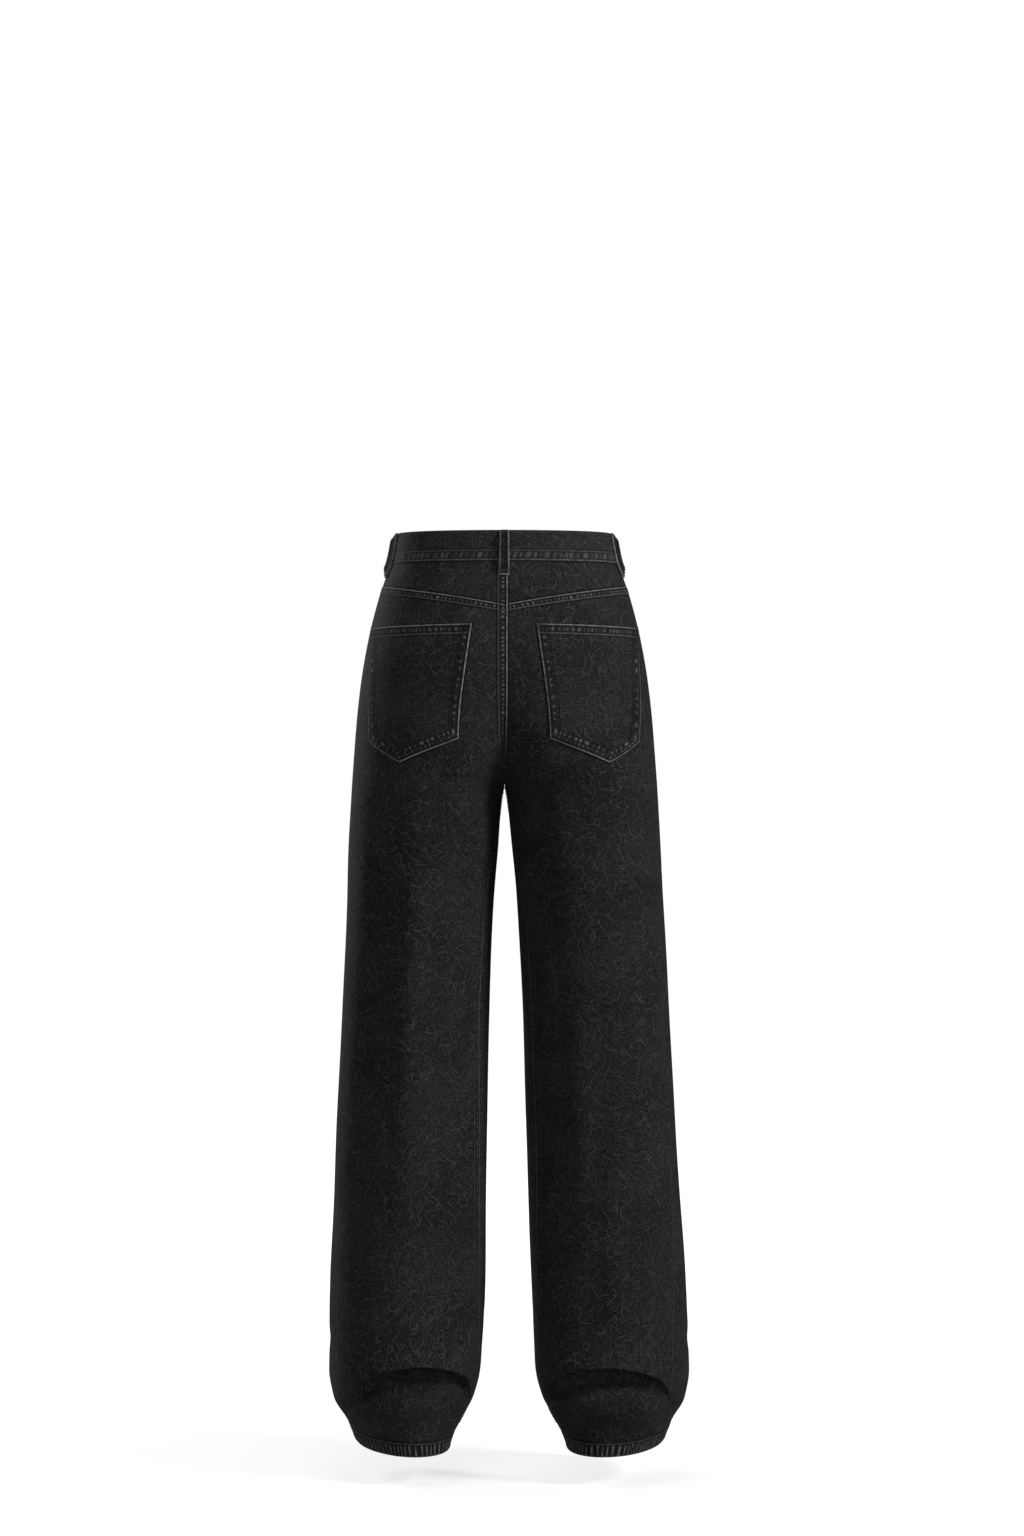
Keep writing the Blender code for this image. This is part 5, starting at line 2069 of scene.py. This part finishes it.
@dataclass
class Studio:
    """A pale floor, soft light and the camera."""

    floor: float = -1.181
    distance: float = 5.5
    aside: float = -0.0095
    height: float = -0.2779
    near_floor: float = 1.5
    tall: float = 1.951
    sensor: float = 36.0

    def build(self) -> None:
        """Makes the floor, the lights and the camera."""
        self.make_floor()
        self.make_light()
        data = bpy.data.cameras.new("camera")
        data.sensor_width = self.sensor
        data.lens = self.sensor * self.distance / self.tall
        camera = placed("camera", data)
        camera.location = (self.aside, self.distance, self.height)
        camera.rotation_euler = (math.pi / 2, 0, math.pi)
        bpy.context.scene.camera = camera
        bpy.context.scene.view_settings.view_transform = "Standard"

    def make_floor(self) -> None:
        """A large pale disc under the garment."""
        turns = np.linspace(0, 2 * math.pi, 64, endpoint=False)
        points = [(60 * math.cos(t), 60 * math.sin(t), self.floor) for t in turns]
        mesh = bpy.data.meshes.new("floor")
        mesh.from_pydata(points, [], [tuple(range(64))])
        made = placed("floor", mesh)
        levels = {
            "Base Color": (0.45, 0.45, 0.45, 1),
            "Roughness": 0.9,
            "Specular IOR Level": 0.1,
            "Emission Color": (1, 1, 1, 1),
        }
        finish, n, shader = start_material("floor_white", levels)
        spot = n.add("ShaderNodeTexCoord").outputs["Object"]
        far = n.add("ShaderNodeVectorMath", spot, operation="LENGTH").outputs["Value"]
        glow = n.ramp(far, self.near_floor, self.near_floor + 0.8, 0.7, 1.0)
        seen = n.add("ShaderNodeLightPath").outputs["Is Camera Ray"]
        n.feed(shader.inputs["Emission Strength"], n.times(seen, glow))
        mesh.materials.append(finish)

    def make_light(self) -> None:
        """An even white surround and five soft lamps."""
        world = bpy.data.worlds.new("studio")
        world.use_nodes = True
        n = Nodes(world.node_tree)
        shown = world.node_tree.nodes["Background"]
        shown.inputs["Color"].default_value = (1, 1, 1, 1)
        shown.inputs["Strength"].default_value = 1.0
        lit = n.add("ShaderNodeBackground", (1, 1, 1, 1), 0.08)
        pick = n.add("ShaderNodeMixShader", n.add("ShaderNodeLightPath").outputs["Is Camera Ray"])
        n.feed(pick.inputs[1], lit.outputs[0])
        n.feed(pick.inputs[2], shown.outputs[0])
        n.feed(world.node_tree.nodes["World Output"].inputs["Surface"], pick.outputs[0])
        bpy.context.scene.world = world
        for name, place, size, power in (
            ("key", (-4.0, 2.5, 2.0), 1.2, 215.0),
            ("fill", (0.8, 5.0, 1.5), 1.8, 42.0),
            ("rim", (4.2, -1.6, 0.8), 1.2, 18.0),
            ("front_key", (3.4, -3.6, 1.8), 1.8, 180.0),
            ("top", (0.0, 1.2, 3.6), 1.4, 36.0),
        ):
            data = bpy.data.lights.new(name, "AREA")
            data.size, data.energy = size, power
            lamp = placed(name, data)
            lamp.location = place
            aim = np.array((0.0, 0.0, -0.5)) - np.array(place)
            lamp.rotation_euler = (math.acos(-aim[2] / np.linalg.norm(aim)), 0, math.atan2(-aim[0], aim[1]))


@dataclass
class Jeans:
    """The whole garment."""

    loop_behind_side: float = 0.015
    loop_from_front: float = 0.078

    def finishes(self) -> dict[str, Material]:
        """The garment's materials by name.

        Returns:
            One material for each kind of piece.
        """
        dashes = Beads(0.005, 0.0023, 0.006, 0.25, 0.15, 0.5)
        felled = BandStyle(0.0082, 0.7, 0.4, 0.8, 0.0, (dashes,))
        centre = BandStyle(0.0117, 0.75, 0.34, 0.85, 0.0, (Beads(0.0058, 0.0021, 0.0056, 0.26, 0.2, 0.52),))
        seam = BandStyle(0.007, 0.28, 0.14, 0.35)
        # Painted shadow only, right along an edge.
        shaded = BandStyle(0.002, shadow=0.85)
        mouth = BandStyle(0.0084, 0.55, 0.3, 0.5, 0.0, (Beads(0.0045, 0.0022, 0.0065, 0.26, 0.5, 0.34),))
        pocket_top = BandStyle(0.0114, 0.8, 0.42, 0.6, 0.0, (Beads(0.0066, 0.0027, 0.0064, 0.26, 0.15, 0.4),))
        pocket_edge = BandStyle(0.0108, 0.95, 0.0, 0.72)
        pocket_side = BandStyle(rows=(Beads(0.007, 0.0024, 0.0108, 0.2, 0.0, 0.3),))
        pocket_low = BandStyle(rows=(
            Beads(0.0052, 0.0018, 0.0058, 0.26, 0.1, 0.34),
            Beads(0.0104, 0.0026, 0.0078, 0.26, 0.1, 0.42),
        ))
        pocket = (pocket_top, pocket_edge, pocket_side, pocket_low)
        band_low = BandStyle(0.0125, 0.5, 0.28, 0.35, 0.0, (Beads(0.0066, 0.0046, 0.0083, 0.34, 0.3, 0.3),))
        band_top = BandStyle(0.0032, 0.3, 0.12, 0.45)
        loop_side = BandStyle(0.004, 0.95, 0.0, 0.75)
        loop_end = BandStyle(0.003, 0.85, 0.1, 0.3)
        hem_low = BandStyle(0.002, 0.45)
        # Its shadow is a painted shadow along the hem's top edge.
        hem_top = BandStyle(0.0036, 0.0, 0.26, 0.7, 0.5, (Beads(0.0034, 0.0009, 0.0046, 0.32, 0.0, 0.36),))
        made = {
            "back": Denim("denim_back_leg", bands=(felled, centre, seam, shaded)),
            "front": Denim("denim_front_leg", bands=(mouth, centre, seam, shaded)),
            "yoke": Denim("denim_yoke", bands=(shaded, centre, seam)),
            "band": Denim("denim_waistband", base=0.02, bands=(band_low, band_top)),
            "pocket": Denim("denim_pocket", base=0.0165, bands=pocket),
            "loop": Denim("denim_belt_loop", bands=(loop_side, loop_end)),
            "hem": Denim("denim_hem", bands=(hem_low, hem_top), roped=True),
            "plain": Denim("denim_plain"),
        }
        ready = {name: finish.material() for name, finish in made.items()}
        ready["thread"] = Thread().material()
        ready["metal"] = DarkMetal().material()
        return ready

    def build(self) -> None:
        """Makes every piece, and the stitches on it."""
        use = self.finishes()
        sewing = Sewing()
        tree = sewing.tree(use["thread"])

        def sew(name: str, runs: Sequence[Stitches]) -> None:
            """Makes the stitches of one piece, if it has any, and ties them to the part."""
            if runs:
                finish_piece(sewing.sew(f"stitches_{name}", runs, tree))

        waist = Waist()
        sew("waistband", waist.build(use["band"]))
        for side in Side:
            for face in Face:
                sew(f"{face.value}_leg_{side.value}", LegPanel(side, face).build(use[face.value]))
            sew(f"yoke_{side.value}", Yoke(side).build(use["yoke"]))
            sew(f"hem_{side.value}", Hem(side).build(use["hem"]))
            sew(f"back_pocket_{side.value}", BackPocket(side).build(use["pocket"]))
            PocketFacing(side).build(use["plain"])
        FlyShield().build(use["plain"])
        back, front = waist.widths()
        loops = [BeltLoop("belt_loop_back", 0.0)]
        for side in Side:
            aside = side.sign * (back - self.loop_behind_side)
            ahead = side.sign * (back + front - self.loop_from_front)
            loops.append(BeltLoop(f"belt_loop_side_{side.value}", aside, stand=0.004, twist=0.0026))
            loops.append(BeltLoop(f"belt_loop_front_{side.value}", ahead))
        for loop in loops:
            sew(loop.name, loop.build(use["loop"], waist))
        Button().build(use["metal"], waist)


def main() -> None:
    """Builds the garment and its surroundings."""
    logging.basicConfig(level=logging.INFO, format="%(name)s: %(message)s")
    Jeans().build()
    Studio().build()


if __name__ == "__main__":
    main()
